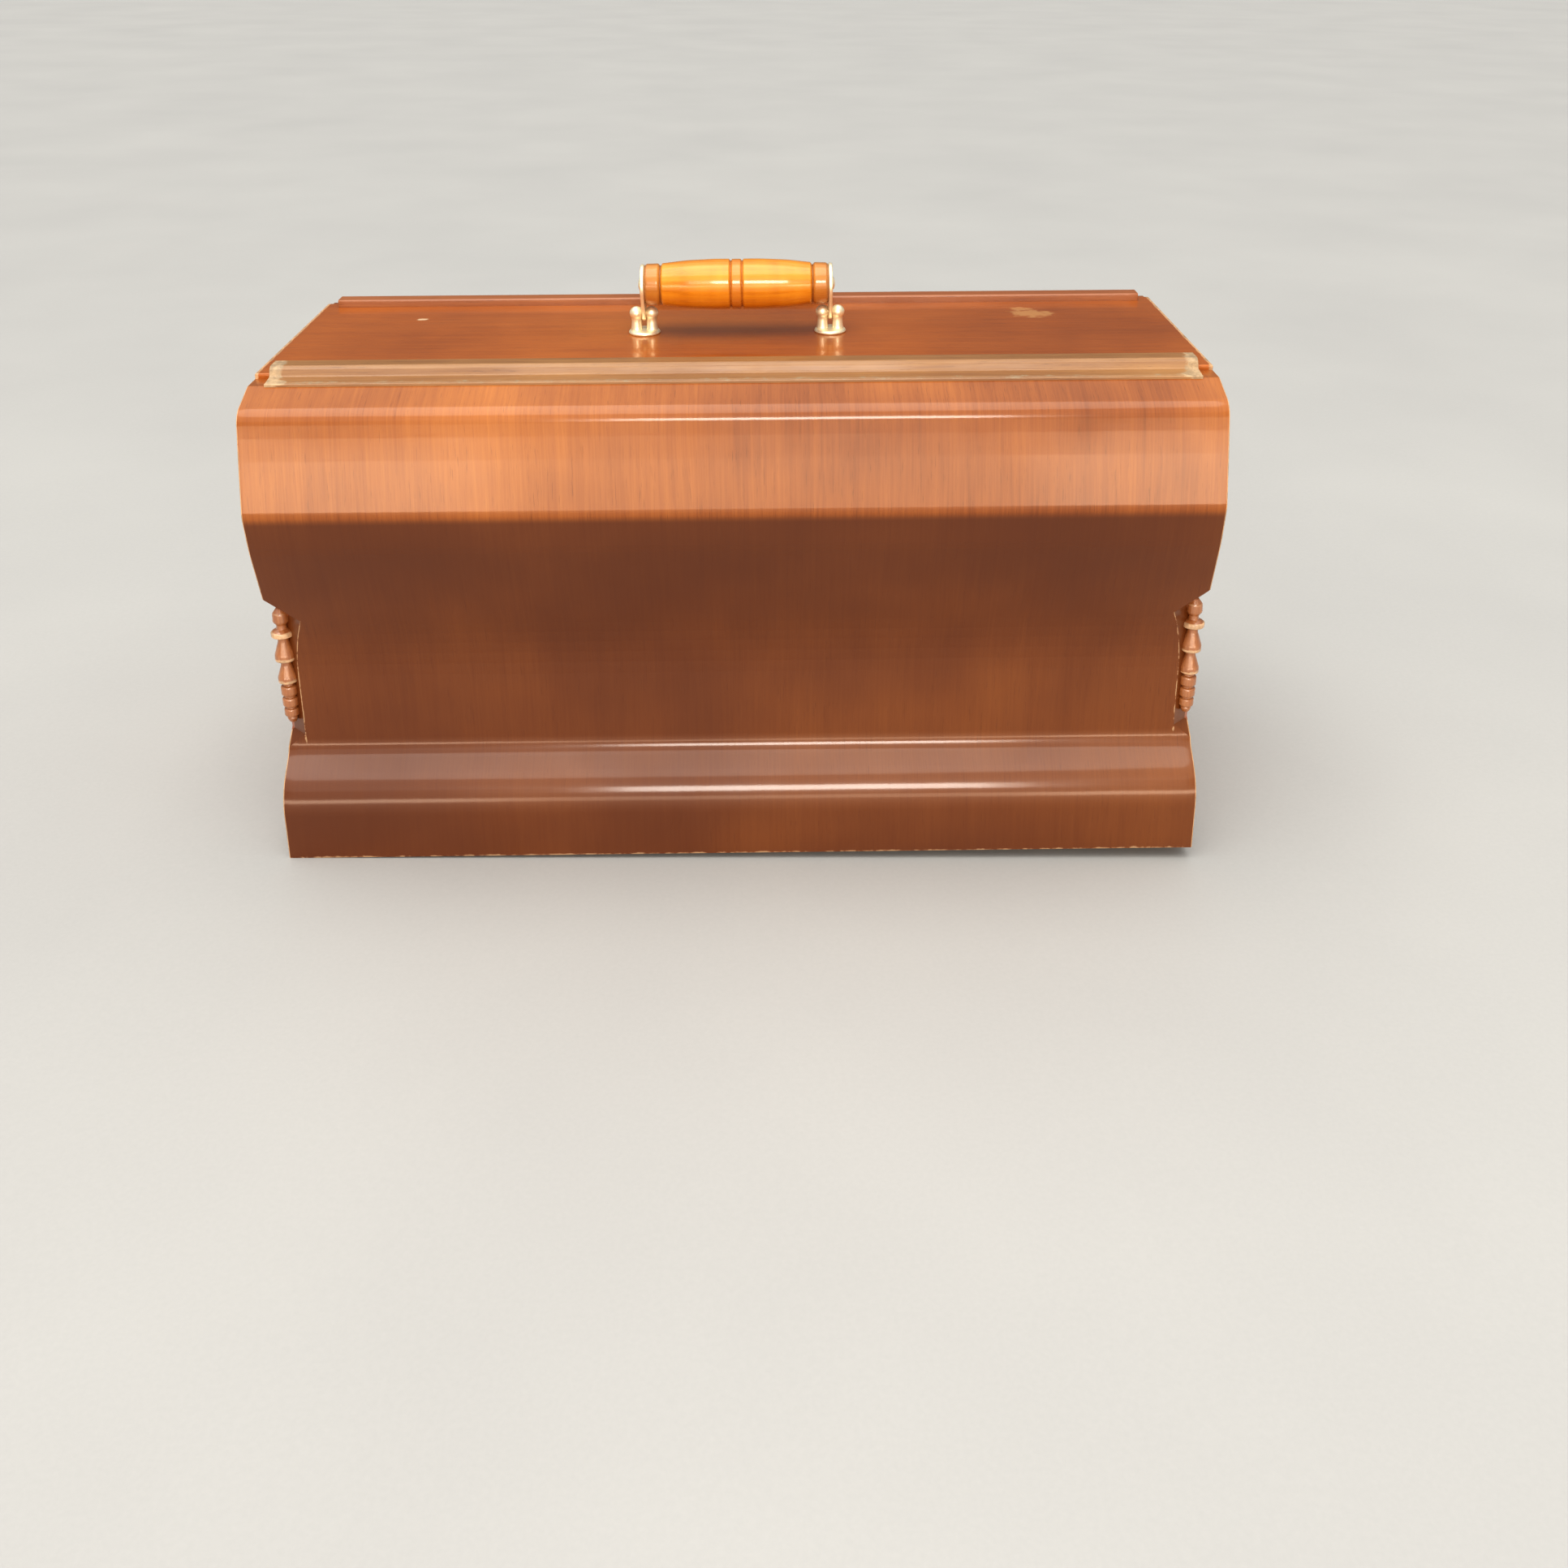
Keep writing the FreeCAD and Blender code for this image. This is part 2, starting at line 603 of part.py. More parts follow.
batten = box("handle_batten_blank", -78, 78, -22, 22, UNDER - c("batten_t"), UNDER)
node("handle_batten", cut("handle_batten", batten,
     [cylinder("batten_bore_%d" % i, c("stud_rad", 1, 0.15), 20, c("post_x", s), 0, UNDER - 15, "z") for i, s in enumerate((-1, 1))]))


# --------------------------------------------------------------------- columns
def column(label, sx, sy, room):
    """Split turning: a ball, a thin disc, two cone beads and a cluster of small beads."""
    body = new_body(label + "_turning")
    sk = new_sketch(body, "XZ_Plane", label + "_profile")
    R = "column_rad"
    prof = [
        (E(0), E(80.0), None),
        (E(2.2), E(80.0), E(0.8)), (E(3.3), E(82.6), E(0.8)), (E(2.7), E(84.0), E(0.4)),
        (E(4.5), E(84.6), E(0.9)), (E(4.5), E(89.0), E(0.9)), (E(3.2), E(89.6), E(0.3)),
        (E(3.2), E(90.6), E(0.3)), (E(4.9), E(91.2), E(1.2)), (E(4.9), E(96.2), E(1.2)), (E(3.3), E(96.9), E(0.3)),
        (E(3.3), E(97.9), E(0.3)), (E(5.0), E(98.6), E(1.4)), (E(5.0), E(104.2), E(1.4)), (E(3.2), E(105.0), E(0.4)),
        (E(3.2), E(106.6), E(0.4)), (c(R, 1, -0.9), E(107.3), E(1.0)), (c(R, 1, -1.0), E(110.6), E(2.4)),
        (E(3.2), E(118.6), E(3.0)), (E(3.1), E(121.0), E(0.5)),
        (c(R, 1, -0.6), E(121.9), E(1.0)), (c(R, 1, -0.7), E(125.6), E(2.6)),
        (E(3.4), E(134.0), E(3.0)), (E(3.2), E(136.2), E(0.5)),
        (c(R, 1, -1.6), E(137.2), E(0.4)), (c(R), E(138.2), E(0.5)), (c(R), E(140.6), E(0.5)),
        (c(R, 1, -1.6), E(141.8), E(0.4)), (E(3.2), E(142.8), E(0.4)),
        (E(3.0), E(145.2), E(0.5)), (E(4.9), E(147.6), E(2.2)), (E(4.7), E(152.8), E(2.6)),
        (E(2.0), E(156.4), E(1.0)), (E(0), E(156.4), None),
    ]
    loop(sk, prof)
    revolve(body, sk)
    place(body, (HALF_L - c("column_inset")) * sx, (HALF_D - c("neck_off") - c("column_inset")) * sy, Z)
    # the turning is kept only inside the notch, so it sits on the flat and under the stop
    split = doc.addObject("Part::Common", label)
    split.Base, split.Tool = body, room
    return split


for sx, sy, nm in ((-1, -1, "front_left"), (1, -1, "front_right"), (-1, 1, "back_left"), (1, 1, "back_right")):
    node("column_" + nm, column("column_" + nm, sx, sy, notch[nm]))

# ---------------------------------------------------------------------- handle
PIVOT = TOP + c("pivot_up")
AXIS = PIVOT + c("arm_long")

grip = new_body("handle_grip_turning")
sk = new_sketch(grip, "XZ_Plane", "grip_profile")
gr, ge = "grip_rad", "grip_end_rad"


def side_profile(s):
    return [
        (c("grip_half", s), c(ge, 1, -1.2), E(0.6)),
        (c("grip_half", s, -1.4 * s), c(ge), E(1.4)),
        (c("grip_half", s, -8.6 * s), c(ge, 1, 0.25), E(1.6)),
        (c("grip_half", s, -9.9 * s), c(ge, 1, -1.35), E(0.4)),
        (c("grip_half", s, -11.2 * s), c(ge, 1, 0.3), E(0.6)),
        (c("grip_half", s, -26.0 * s), c(gr, 1, -0.75), E(60.0)),
        (E(14.0 * s), c(gr), E(60.0)),
        (E(4.6 * s), c(gr), E(0.6)),
        (E(3.5 * s), c(gr, 1, -1.2), E(0.3)),
        (E(2.5 * s), c(gr, 1, -0.1), E(0.6)),
    ]


right = side_profile(1)
left = list(reversed(side_profile(-1)))
loop(sk, [(c("grip_half", -1), c("rod_rad"), None), (c("grip_half"), c("rod_rad"), None)] + right + left)
revolve(grip, sk, "H_Axis")
place(grip, 0, 0, AXIS)
grip.Label = "handle_grip"
node("handle_grip", grip)

rod = new_body("handle_rod")
sk = new_sketch(rod, "XZ_Plane", "rod_profile")
end = E(0, grip_half=1, arm_t=1)
rr = "rod_rad"
loop(sk, [(-(end + 1.7), E(0), None), (end + 1.7, E(0), None), (end + 1.7, E(1.3), E(0.5)), (end + 1.0, E(3.6), E(0.7)), (end, E(4.3), None),
          (end, c(rr), None), (-end, c(rr), None),
          (-end, E(4.3), None), (-(end + 1.0), E(3.6), E(0.7)), (-(end + 1.7), E(1.3), E(0.5))])
revolve(rod, sk, "H_Axis")
place(rod, 0, 0, AXIS)
node("handle_rod", rod)


def arm(label, s):
    """Flat strap: a round eye as large as the grip's end, a waist and a small pivot eye."""
    body = new_body(label + "_strap")
    sk = new_sketch(body, "YZ_Plane", label + "_outline")
    a, b, l = D["arm_eye_rad"], D["arm_foot_rad"], D["arm_long"]
    # tangent line between the two eyes
    th = math.asin((a - b) / l)
    y0, z0 = b * math.cos(th), -b * math.sin(th)
    y1, z1 = a * math.cos(th), l - a * math.sin(th)
    big = sk.addGeometry(Part.ArcOfCircle(Part.Circle(V(0, l, 0), V(0, 0, 1), a), -th, math.pi + th))
    small = sk.addGeometry(Part.ArcOfCircle(Part.Circle(V(0, 0, 0), V(0, 0, 1), b), math.pi + th, 2 * math.pi - th))
    lr = sk.addGeometry(Part.LineSegment(V(y0, z0, 0), V(y1, z1, 0)))
    ll = sk.addGeometry(Part.LineSegment(V(-y1, z1, 0), V(-y0, z0, 0)))
    for one, po, two, pt in ((small, 2, lr, 1), (lr, 2, big, 1), (big, 2, ll, 1), (ll, 2, small, 1)):
        sk.addConstraint(Sketcher.Constraint("Tangent", one, po, two, pt))
    sk.addConstraint(Sketcher.Constraint("Coincident", small, 3, -1, 1))
    sk.addConstraint(Sketcher.Constraint("PointOnObject", big, 3, -2))
    for kind, args, cell in (("DistanceY", (-1, 1, big, 3), "arm_long"), ("Radius", (big,), "arm_eye_rad"), ("Radius", (small,), "arm_foot_rad")):
        k = sk.addConstraint(Sketcher.Constraint(kind, *args, D[cell]))
        sk.renameConstraint(k, cell)
        sk.setExpression("Constraints." + cell, "dims." + cell)
    pad(body, sk, c("arm_t"), midplane=True)
    x = E(0, grip_half=1, arm_t=0.5) * s
    place(body, x, 0, PIVOT)
    return cut(label, body, [
        cylinder(label + "_rod_hole", c("rod_rad"), 10, x - 5, 0, AXIS, "x"),
        cylinder(label + "_pin_hole", E(0, pin_rad=1, pin_play=1), 10, x - 5, 0, PIVOT, "x")])


node("handle_arm_left", arm("handle_arm_left", -1))
node("handle_arm_right", arm("handle_arm_right", 1))


def bracket(label, s):
    """Round dished flange with a stud below and two ball-headed cheeks above."""
    fl = new_body(label + "_flange")
    sk = new_sketch(fl, "XZ_Plane", label + "_flange_profile")
    loop(sk, [
        (E(0), c("top_z", 0, -28.0), None), (E(2.0), E(-28.0), E(0.5)), (c("stud_rad"), E(-26.8), E(0.4)), (c("stud_rad"), E(0), None),
        (c("flange_rad", 1, -0.5), E(0), None), (c("flange_rad"), E(0.6), E(0.4)), (c("flange_rad", 1, -0.6), E(1.5), E(0.6)),
        (c("flange_rad", 1, -3.4), c("flange_t"), E(2.5)), (E(5.2), c("flange_t", 1, 0.6), E(1.5)), (E(0), c("flange_t", 1, 0.6), None)])
    revolve(fl, sk)
    place(fl, c("post_x", s), 0, TOP)
    cheeks = []
    for k, sc in (("a", -1), ("b", 1)):
        ck = new_body("%s_cheek_%s" % (label, k))
        sk = new_sketch(ck, "XZ_Plane", "%s_cheek_profile_%s" % (label, k))
        # stem from the flange, waist, then a ball round the pivot
        b = D["ball_rad"]
        up = D["pivot_up"]
        t = math.radians(-52)
        bx, bz = b * math.cos(t), up + b * math.sin(t)
        arc = sk.addGeometry(Part.ArcOfCircle(Part.Circle(V(0, up, 0), V(0, 0, 1), b), t, math.pi / 2))
        pts = [V(bx, bz, 0), V(2.05, up - 5.4, 0), V(2.3, 4.6, 0), V(3.4, 2.4, 0), V(3.4, 1.2, 0), V(0, 1.2, 0), V(0, up + b, 0)]
        ls = [sk.addGeometry(Part.LineSegment(p, q)) for p, q in zip(pts, pts[1:])]
        sk.addConstraint(Sketcher.Constraint("Coincident", arc, 1, ls[0], 1))
        for p, q in zip(ls, ls[1:]):
            sk.addConstraint(Sketcher.Constraint("Coincident", p, 2, q, 1))
        sk.addConstraint(Sketcher.Constraint("Coincident", ls[-1], 2, arc, 2))
        sk.addConstraint(Sketcher.Constraint("PointOnObject", arc, 3, -2))
        for i, (ex, ey) in enumerate(((E(2.05), c("pivot_up", 1, -5.4)), (E(2.3), E(4.6)), (E(3.4), E(2.4)), (E(3.4), E(1.2)), (E(0), E(1.2)))):
            pin_point(sk, ls[i], 2, ex, ey)
        sk.addConstraint(Sketcher.Constraint("PointOnObject", ls[-1], 2, -2))
        q = sk.addConstraint(Sketcher.Constraint("DistanceY", -1, 1, arc, 3, up))
        sk.renameConstraint(q, "pivot")
        sk.setExpression("Constraints.pivot", "dims.pivot_up")
        q = sk.addConstraint(Sketcher.Constraint("Radius", arc, b))
        sk.renameConstraint(q, "ball")
        sk.setExpression("Constraints.ball", "dims.ball_rad")
        q = sk.addConstraint(Sketcher.Constraint("DistanceX", -1, 1, arc, 1, bx))
        revolve(ck, sk)
        place(ck, c("post_x", s) + c("ball_x", sc), 0, TOP)
        cheeks.append(ck)
    px = c("post_x", s)
    slot = box(label + "_slot", px - c("slot_half"), px + c("slot_half"), -12, 12, TOP + c("flange_t", 1, 0.6), TOP + 30)
    bore = cylinder(label + "_pin_bore", c("pin_rad"), 24, px - 12, 0, PIVOT, "x")
    return cut(label, fuse(label + "_whole", [fl] + cheeks), [slot, bore])


node("handle_bracket_left", bracket("handle_bracket_left", -1))
node("handle_bracket_right", bracket("handle_bracket_right", 1))

pins, washers, nuts = [], [], []
for i, s in enumerate((-1, 1)):
    pb = new_body("pivot_pin_%d" % i)
    sk = new_sketch(pb, "XZ_Plane", "pivot_pin_profile_%d" % i)
    e = E(0, ball_x=1, ball_rad=1)
    f = E(1.0)
    loop(sk, [(-(e - 0.45), E(0), None), (e - 0.45, E(0), None), (e + 0.35, E(0.01), None), (e + 0.1, E(1.5), E(0.7)), (e - 0.45, E(1.9), None), (e - 0.45, c("pin_rad"), None),
              (-(e - 0.45), c("pin_rad"), None), (-(e - 0.45), E(1.9), None), (-(e + 0.1), E(1.5), E(0.7)), (-(e + 0.35), E(0.01), None)])
    pins.append(pb)
    place(pb, c("post_x", s), 0, PIVOT)
    revolve(pb, sk, "H_Axis")
    under = UNDER - c("batten_t")
    ring = cylinder("washer_disc_%d" % i, 8.0, c("washer_t"), c("post_x", s), 0, under - c("washer_t"), "z")
    washers.append(cut("washer_%d" % i, ring, [cylinder("washer_bore_%d" % i, c("stud_rad", 1, 0.1), 6, c("post_x", s), 0, under - 4, "z")]))
    nut = box("nut_block_%d" % i, c("post_x", s) - 5, c("post_x", s) + 5, -5, 5, under - c("washer_t") - c("nut_t"), under - c("washer_t"))
    nuts.append(cut("nut_%d" % i, nut, [cylinder("nut_bore_%d" % i, c("stud_rad"), 12, c("post_x", s), 0, under - 8, "z")]))
node("bracket_washers", group("bracket_washers", washers))
node("bracket_nuts", group("bracket_nuts", nuts))
node("pivot_pins", group("pivot_pins", pins))

# ------------------------------------------------------------------------ lock
CASE_IN = IN_X - 2.0                   # open side of the case, under the cap
CASE_OUT = IN_X - 9.5
LT = Z + c("lock_plate_t")
case_block = box("lock_case_block", CASE_OUT, CASE_IN, -c("lock_half"), c("lock_half"), LT, Z + c("lock_tall"))
case_room = box("lock_case_room", CASE_OUT + c("lock_wall"), CASE_IN + 1, -c("lock_half") + c("lock_wall"), c("lock_half") - c("lock_wall"),
                LT + c("lock_wall"), Z + c("lock_tall") - c("lock_wall"))
staple_slot = box("staple_slot", CASE_OUT + 1.4, CASE_IN - 0.4, -8.6, 8.6, Z - 1, LT + c("lock_wall", 1, 0.1))
case_key = cylinder("case_key_hole", c("key_rad"), 6, CASE_OUT - 2, 0, Z + c("key_z"), "x")
node("lock_case", cut("lock_case", case_block, [case_room, staple_slot, case_key]))

cap_bolt_holes = [cylinder("cap_hole_%d" % i, 1.3, 6, IN_X - 4, y, Z + 14.0, "x") for i, y in enumerate((-33.0, 33.0))]
# the cap is longer than the case, so its two ears are let into the board and screwed
ears = box("cap_seat_ears", IN_X - 2.0, IN_X + 1, -c("lock_half") - 7, c("lock_half") + 7, Z + 7, Z + 21)
cap = fuse("lock_cap_whole", [
    box("lock_cap_mid", CASE_IN, IN_X - 0.2, -c("lock_half"), c("lock_half"), LT, Z + c("lock_tall")),
    box("lock_cap_ears", CASE_IN, IN_X - 0.2, -c("lock_half") - 6.6, c("lock_half") + 6.6, Z + 7.5, Z + 20.5)])
node("lock_cap", cut("lock_cap", cap, cap_bolt_holes + [
    cone("cap_sink_%d" % i, 1.3, 2.7, 1.4, IN_X - 1.6, y, Z + 14.0, "x") for i, y in enumerate((-33.0, 33.0))]))

plate = oval("lock_plate_blank", LOCK_PLATE_X, E(0), E(37), PLATE_W, Z, LT)
plate_slot = box("plate_slot", CASE_OUT + 1.4, CASE_IN - 0.4, -8.6, 8.6, Z - 1, LT + 1)
plate_holes = []
for i, (x, y) in enumerate(LOCK_PLATE_SCREWS):
    plate_holes.append(cylinder("plate_hole_%d" % i, 1.3, 4, x, y, Z - 1, "z"))
    plate_holes.append(cone("plate_sink_%d" % i, 2.7, 1.3, 1.4, x, y, Z, "z"))
node("lock_face_plate", cut("lock_face_plate", plate, [plate_slot] + plate_holes))

lock_screws = [wood_screw("plate_screw_%d" % i, x, y, Z, 1.2, 2.6, 10.0, "z") for i, (x, y) in enumerate(LOCK_PLATE_SCREWS)]
lock_screws += [wood_screw("cap_screw_%d" % i, IN_X - 0.2, y, Z + 14.0, 1.2, 2.6, 6.0, "-x") for i, y in enumerate((-33.0, 33.0))]
node("lock_screws", group("lock_screws", lock_screws))

# The bolt slides along -Y: its nose crosses the slot for the base's staple.
bolt = new_body("lock_bolt")
sk = new_sketch(bolt, "YZ_Plane", "bolt_outline")
floor = E(0.2, lock_plate_t=1, lock_wall=1)
loop(sk, [
    (E(8.9), floor, None), (E(22.0), floor, E(0.6)), (E(22.0), E(19.4), E(0.6)),
    (E(6.6), E(19.4), None), (E(6.6), E(16.2), None), (E(2.4), E(16.2), None), (E(2.4), E(19.4), None),
    (E(-5.0), E(19.4), E(0.6)), (E(-5.0), E(14.6), E(0.6)), (E(16.0), E(14.6), E(1.0)),
    (E(16.0), floor + 6.0, E(1.0)), (E(8.9), floor + 6.0, None)])
pad(bolt, sk, 4.4, midplane=True)
place(bolt, CASE_OUT + c("lock_wall", 1, 0.4 + 2.2), 0, Z)
node("lock_bolt", bolt)

spring = new_body("lock_spring")
sk = new_sketch(spring, "YZ_Plane", "spring_outline")
roof = c("lock_tall") - c("lock_wall")
loop(sk, [
    (E(7.4), E(20.9), None), (E(13.5), E(19.75), None), (E(22.0), E(21.6), None), (E(26.6), E(26.4), None),
    (E(26.6), roof, None), (E(12.0), roof, None), (E(12.0), roof - 0.6, None), (E(26.0), roof - 0.6, None),
    (E(26.0), E(26.64), None), (E(21.69), E(22.15), None), (E(13.49), E(20.36), None), (E(7.51), E(21.49), None)])
pad(spring, sk, 3.6, midplane=True)
place(spring, CASE_OUT + c("lock_wall", 1, 0.4 + 2.2), 0, Z)
node("lock_spring", spring)

# ------------------------------------------------------------------ escutcheon
esc = new_body("escutcheon_blank")
sk = new_sketch(esc, "YZ_Plane", "escutcheon_outline")
loop(sk, [(E(0), E(-17.5), E(3.0)), (E(9.5), E(-9.0), E(6.0)), (E(10.5), E(11.0), E(7.0)), (E(0), E(17.0), E(9.0)),
          (E(-10.5), E(11.0), E(7.0)), (E(-9.5), E(-9.0), E(6.0))])
pad(esc, sk, 0.9, midplane=True)
place(esc, OUT_X - 0.45, 0, Z + c("key_z"))
KZ = Z + c("key_z")
esc_tools = [cylinder("escutcheon_key_round", c("key_rad"), 6, OUT_X - 3, 0, KZ, "x"),
             box("escutcheon_key_slot", OUT_X - 3, OUT_X + 3, -1.4, 1.4, KZ - 9.0, KZ)]
esc_tools += [cylinder("escutcheon_pin_hole_%d" % i, 0.7, 6, OUT_X - 3, 0, KZ + dz, "x") for i, dz in enumerate((-13.0, 12.0))]
node("key_escutcheon", cut("key_escutcheon", esc, esc_tools))
esc_pins = []
for i, dz in enumerate((-13.0, 12.0)):
    shank = cylinder("escutcheon_pin_shank_%d" % i, 0.65, 4.9, OUT_X - 0.9, 0, KZ + dz, "x")
    head = doc.addObject("Part::Sphere", "escutcheon_pin_head_%d" % i)
    head.Radius = 1.5
    head.Angle1 = 0.0
    place(head, OUT_X - 0.9, 0, KZ + dz, AXES["-x"])
    esc_pins.append(fuse("escutcheon_pin_%d" % i, [shank, head]))
node("escutcheon_pins", group("escutcheon_pins", esc_pins))

# all the cuts of the lock's board: notches, lock seat, ears, plate seat, key way, pilot holes
key_way = box("key_way", OUT_X - 1, IN_X - 9.0, -1.4, 1.4, KZ - 9.0, KZ)
cap_pilots = [cylinder("cap_pilot_%d" % i, 1.25, 6.5, IN_X - 6.5, y, Z + 14.0, "x") for i, y in enumerate((-33.0, 33.0))]
escutcheon_pilots = [cylinder("escutcheon_pilot_%d" % i, 0.7, 5.2, OUT_X - 1, 0, KZ + dz, "x") for i, dz in enumerate((-13.0, 12.0))]
node("left_end_board", cut("left_end_board", left_blank, [
    notch["front_left"], notch["back_left"], lock_seat, ears, key_bore, key_way, lock_plate_seat]
    + lock_plate_pilots + cap_pilots + escutcheon_pilots))

doc.recompute()

# ---------------------------------------------------------------------- output
bad = []
for o in doc.Objects:
    if any(flag in o.State for flag in ("Invalid", "Error")):
        bad.append("%s %s" % (o.Name, o.State))
for name, obj in nodes.items():
    if obj.Shape.isNull() or not obj.Shape.isValid():
        bad.append(name + " has no valid shape")
if bad:
    raise RuntimeError("failed objects: " + "; ".join(bad))

os.makedirs("parts", exist_ok=True)
for name, obj in nodes.items():
    obj.Shape.exportStep("parts/%s.step" % name)
    bb = obj.Shape.BoundBox
    print("%-22s solids %d  volume %10.1f  x %7.1f %7.1f  y %7.1f %7.1f  z %6.1f %6.1f" % (
        name, len(obj.Shape.Solids), obj.Shape.Volume, bb.XMin, bb.XMax, bb.YMin, bb.YMax, bb.ZMin, bb.ZMax))
print(len(nodes), "nodes")
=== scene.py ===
import math
import random

import bmesh
import bpy
from mathutils import Matrix, Vector


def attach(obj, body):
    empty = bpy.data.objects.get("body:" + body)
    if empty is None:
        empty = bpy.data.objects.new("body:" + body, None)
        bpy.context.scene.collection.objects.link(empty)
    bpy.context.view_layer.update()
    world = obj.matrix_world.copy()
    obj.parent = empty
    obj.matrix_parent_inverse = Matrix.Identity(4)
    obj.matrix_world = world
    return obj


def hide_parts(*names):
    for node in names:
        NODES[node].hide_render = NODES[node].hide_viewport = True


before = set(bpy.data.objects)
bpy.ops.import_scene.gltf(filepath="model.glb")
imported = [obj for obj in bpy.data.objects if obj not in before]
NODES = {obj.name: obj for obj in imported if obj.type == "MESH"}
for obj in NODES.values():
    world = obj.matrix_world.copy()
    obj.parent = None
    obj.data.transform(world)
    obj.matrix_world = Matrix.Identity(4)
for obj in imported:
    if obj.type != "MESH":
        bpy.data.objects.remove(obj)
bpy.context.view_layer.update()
random.seed(7)
MM = 0.001

# ------------------------------------------------------------------ dimensions
# The same lines as the CAD, in millimetres: offsets inwards from the widest line,
# heights above the rim; the rim is 8 mm above the hook tips.
RIM = 8.0
HALF_L, HALF_D, PANEL_T = 278.0, 135.0, 9.0
OUTER = [(6.0, 0.0, 0), (6.0, 44.0, 30.0), (30.5, 62.5, 14.0), (30.5, 131.0, 110.0), (4.6, 204.0, 90.0),
         (0.0, 227.0, 14.0), (6.3, 258.0, 800.0), (12.6, 284.5, 12.0), (37.5, 293.3, 0), (52.0, 293.3, 0)]
INNER_R = [0, 21.0, 23.0, 119.0, 81.0, 0, 111.0, 3.0, 0, 0]
TOP = RIM + 296.4
NOTCH_LEG, NOTCH_LOW, NOTCH_HIGH, NECK = 11.0, 72.0, 152.0, 30.5
PIVOT = TOP + 12.8
AXIS = PIVOT + 18.1


# ------------------------------------------------------------------- 2D shapes
def rounded(verts, step=5.0, closed=True, hold=True):
    """Polygon with corner radii to points; an arc takes a point every step degrees."""
    n = len(verts)
    out = []
    for i, (x, y, r) in enumerate(verts):
        if r <= 0 or (not closed and i in (0, n - 1)):
            out.append((x, y))
            continue
        a, b, d = Vector(verts[i - 1][:2]), Vector((x, y)), Vector(verts[(i + 1) % n][:2])
        u, w = (a - b).normalized(), (d - b).normalized()
        ang = math.acos(max(-1.0, min(1.0, u.dot(w))))
        t = r / math.tan(ang / 2)
        c = b + (u + w).normalized() * (r / math.sin(ang / 2))
        p0, p1 = b + u * t, b + w * t
        a0 = math.atan2(p0.y - c.y, p0.x - c.x)
        da = math.atan2(p1.y - c.y, p1.x - c.x) - a0
        da = (da + math.pi) % (2 * math.pi) - math.pi
        k = max(2, int(abs(math.degrees(da)) / step) + 1)
        out += [(c.x + r * math.cos(a0 + da * j / k), c.y + r * math.sin(a0 + da * j / k)) for j in range(k + 1)]
    # a loop close to each end of a long straight keeps its shading flat
    held = []
    for i, p in enumerate(out):
        held.append(p)
        if i + 1 == len(out) and not closed:
            break
        q = out[(i + 1) % len(out)]
        d = math.hypot(q[0] - p[0], q[1] - p[1])
        if hold and d > 4.0:
            for k in (0.5 / d, 1.0 - 0.5 / d):
                held.append((p[0] + (q[0] - p[0]) * k, p[1] + (q[1] - p[1]) * k))
    return held


def offset_side(verts, gap):
    lines = []
    for (ax, ay, _), (bx, by, _) in zip(verts, verts[1:]):
        d = Vector((bx - ax, by - ay)).normalized()
        lines.append((Vector((ax, ay)) + Vector((d.y, -d.x)) * gap, d))
    q = [Vector((lines[0][0].x, verts[0][1]))]
    for (p, d), (r, e) in zip(lines, lines[1:]):
        k = ((r.x - p.x) * e.y - (r.y - p.y) * e.x) / (d.x * e.y - d.y * e.x)
        q.append(p + d * k)
    q.append(Vector((verts[-1][0], lines[-1][0].y)))
    return q


# --------------------------------------------------------------- mesh building
def new_object(name, bm, smooth=35.0):
    bmesh.ops.recalc_face_normals(bm, faces=bm.faces)
    me = bpy.data.meshes.new(name)
    bm.to_mesh(me)
    bm.free()
    o = bpy.data.objects.new(name, me)
    bpy.context.scene.collection.objects.link(o)
    if smooth:
        shade(o, smooth)
    return o


def shade(o, angle):
    me = o.data
    me.polygons.foreach_set("use_smooth", [True] * len(me.polygons))
    me.set_sharp_from_angle(angle=math.radians(angle))


def apply_modifiers(o):
    dg = bpy.context.evaluated_depsgraph_get()
    me = bpy.data.meshes.new_from_object(o.evaluated_get(dg))
    old = o.data
    o.modifiers.clear()
    o.data = me
    bpy.data.meshes.remove(old)
    return o


def bevel(o, width, segments=3, angle=32.0):
    m = o.modifiers.new("edge", "BEVEL")
    m.width, m.segments, m.limit_method = width * MM, segments, "ANGLE"
    m.angle_limit = math.radians(angle)
    m.use_clamp_overlap = True
    w = o.modifiers.new("normals", "WEIGHTED_NORMAL")
    w.keep_sharp, w.weight = False, 50
    return o


def clean(o, dist=0.004):
    bm = bmesh.new()
    bm.from_mesh(o.data)
    bmesh.ops.remove_doubles(bm, verts=bm.verts, dist=dist * MM)
    bmesh.ops.dissolve_degenerate(bm, dist=dist * MM, edges=bm.edges)
    bm.to_mesh(o.data)
    bm.free()


def boolean(o, cutter, op="DIFFERENCE"):
    m = o.modifiers.new("cut", "BOOLEAN")
    m.operation, m.solver, m.object = op, "EXACT", cutter
    apply_modifiers(o)
    me = cutter.data
    bpy.data.objects.remove(cutter)
    bpy.data.meshes.remove(me)
    clean(o)
    return o


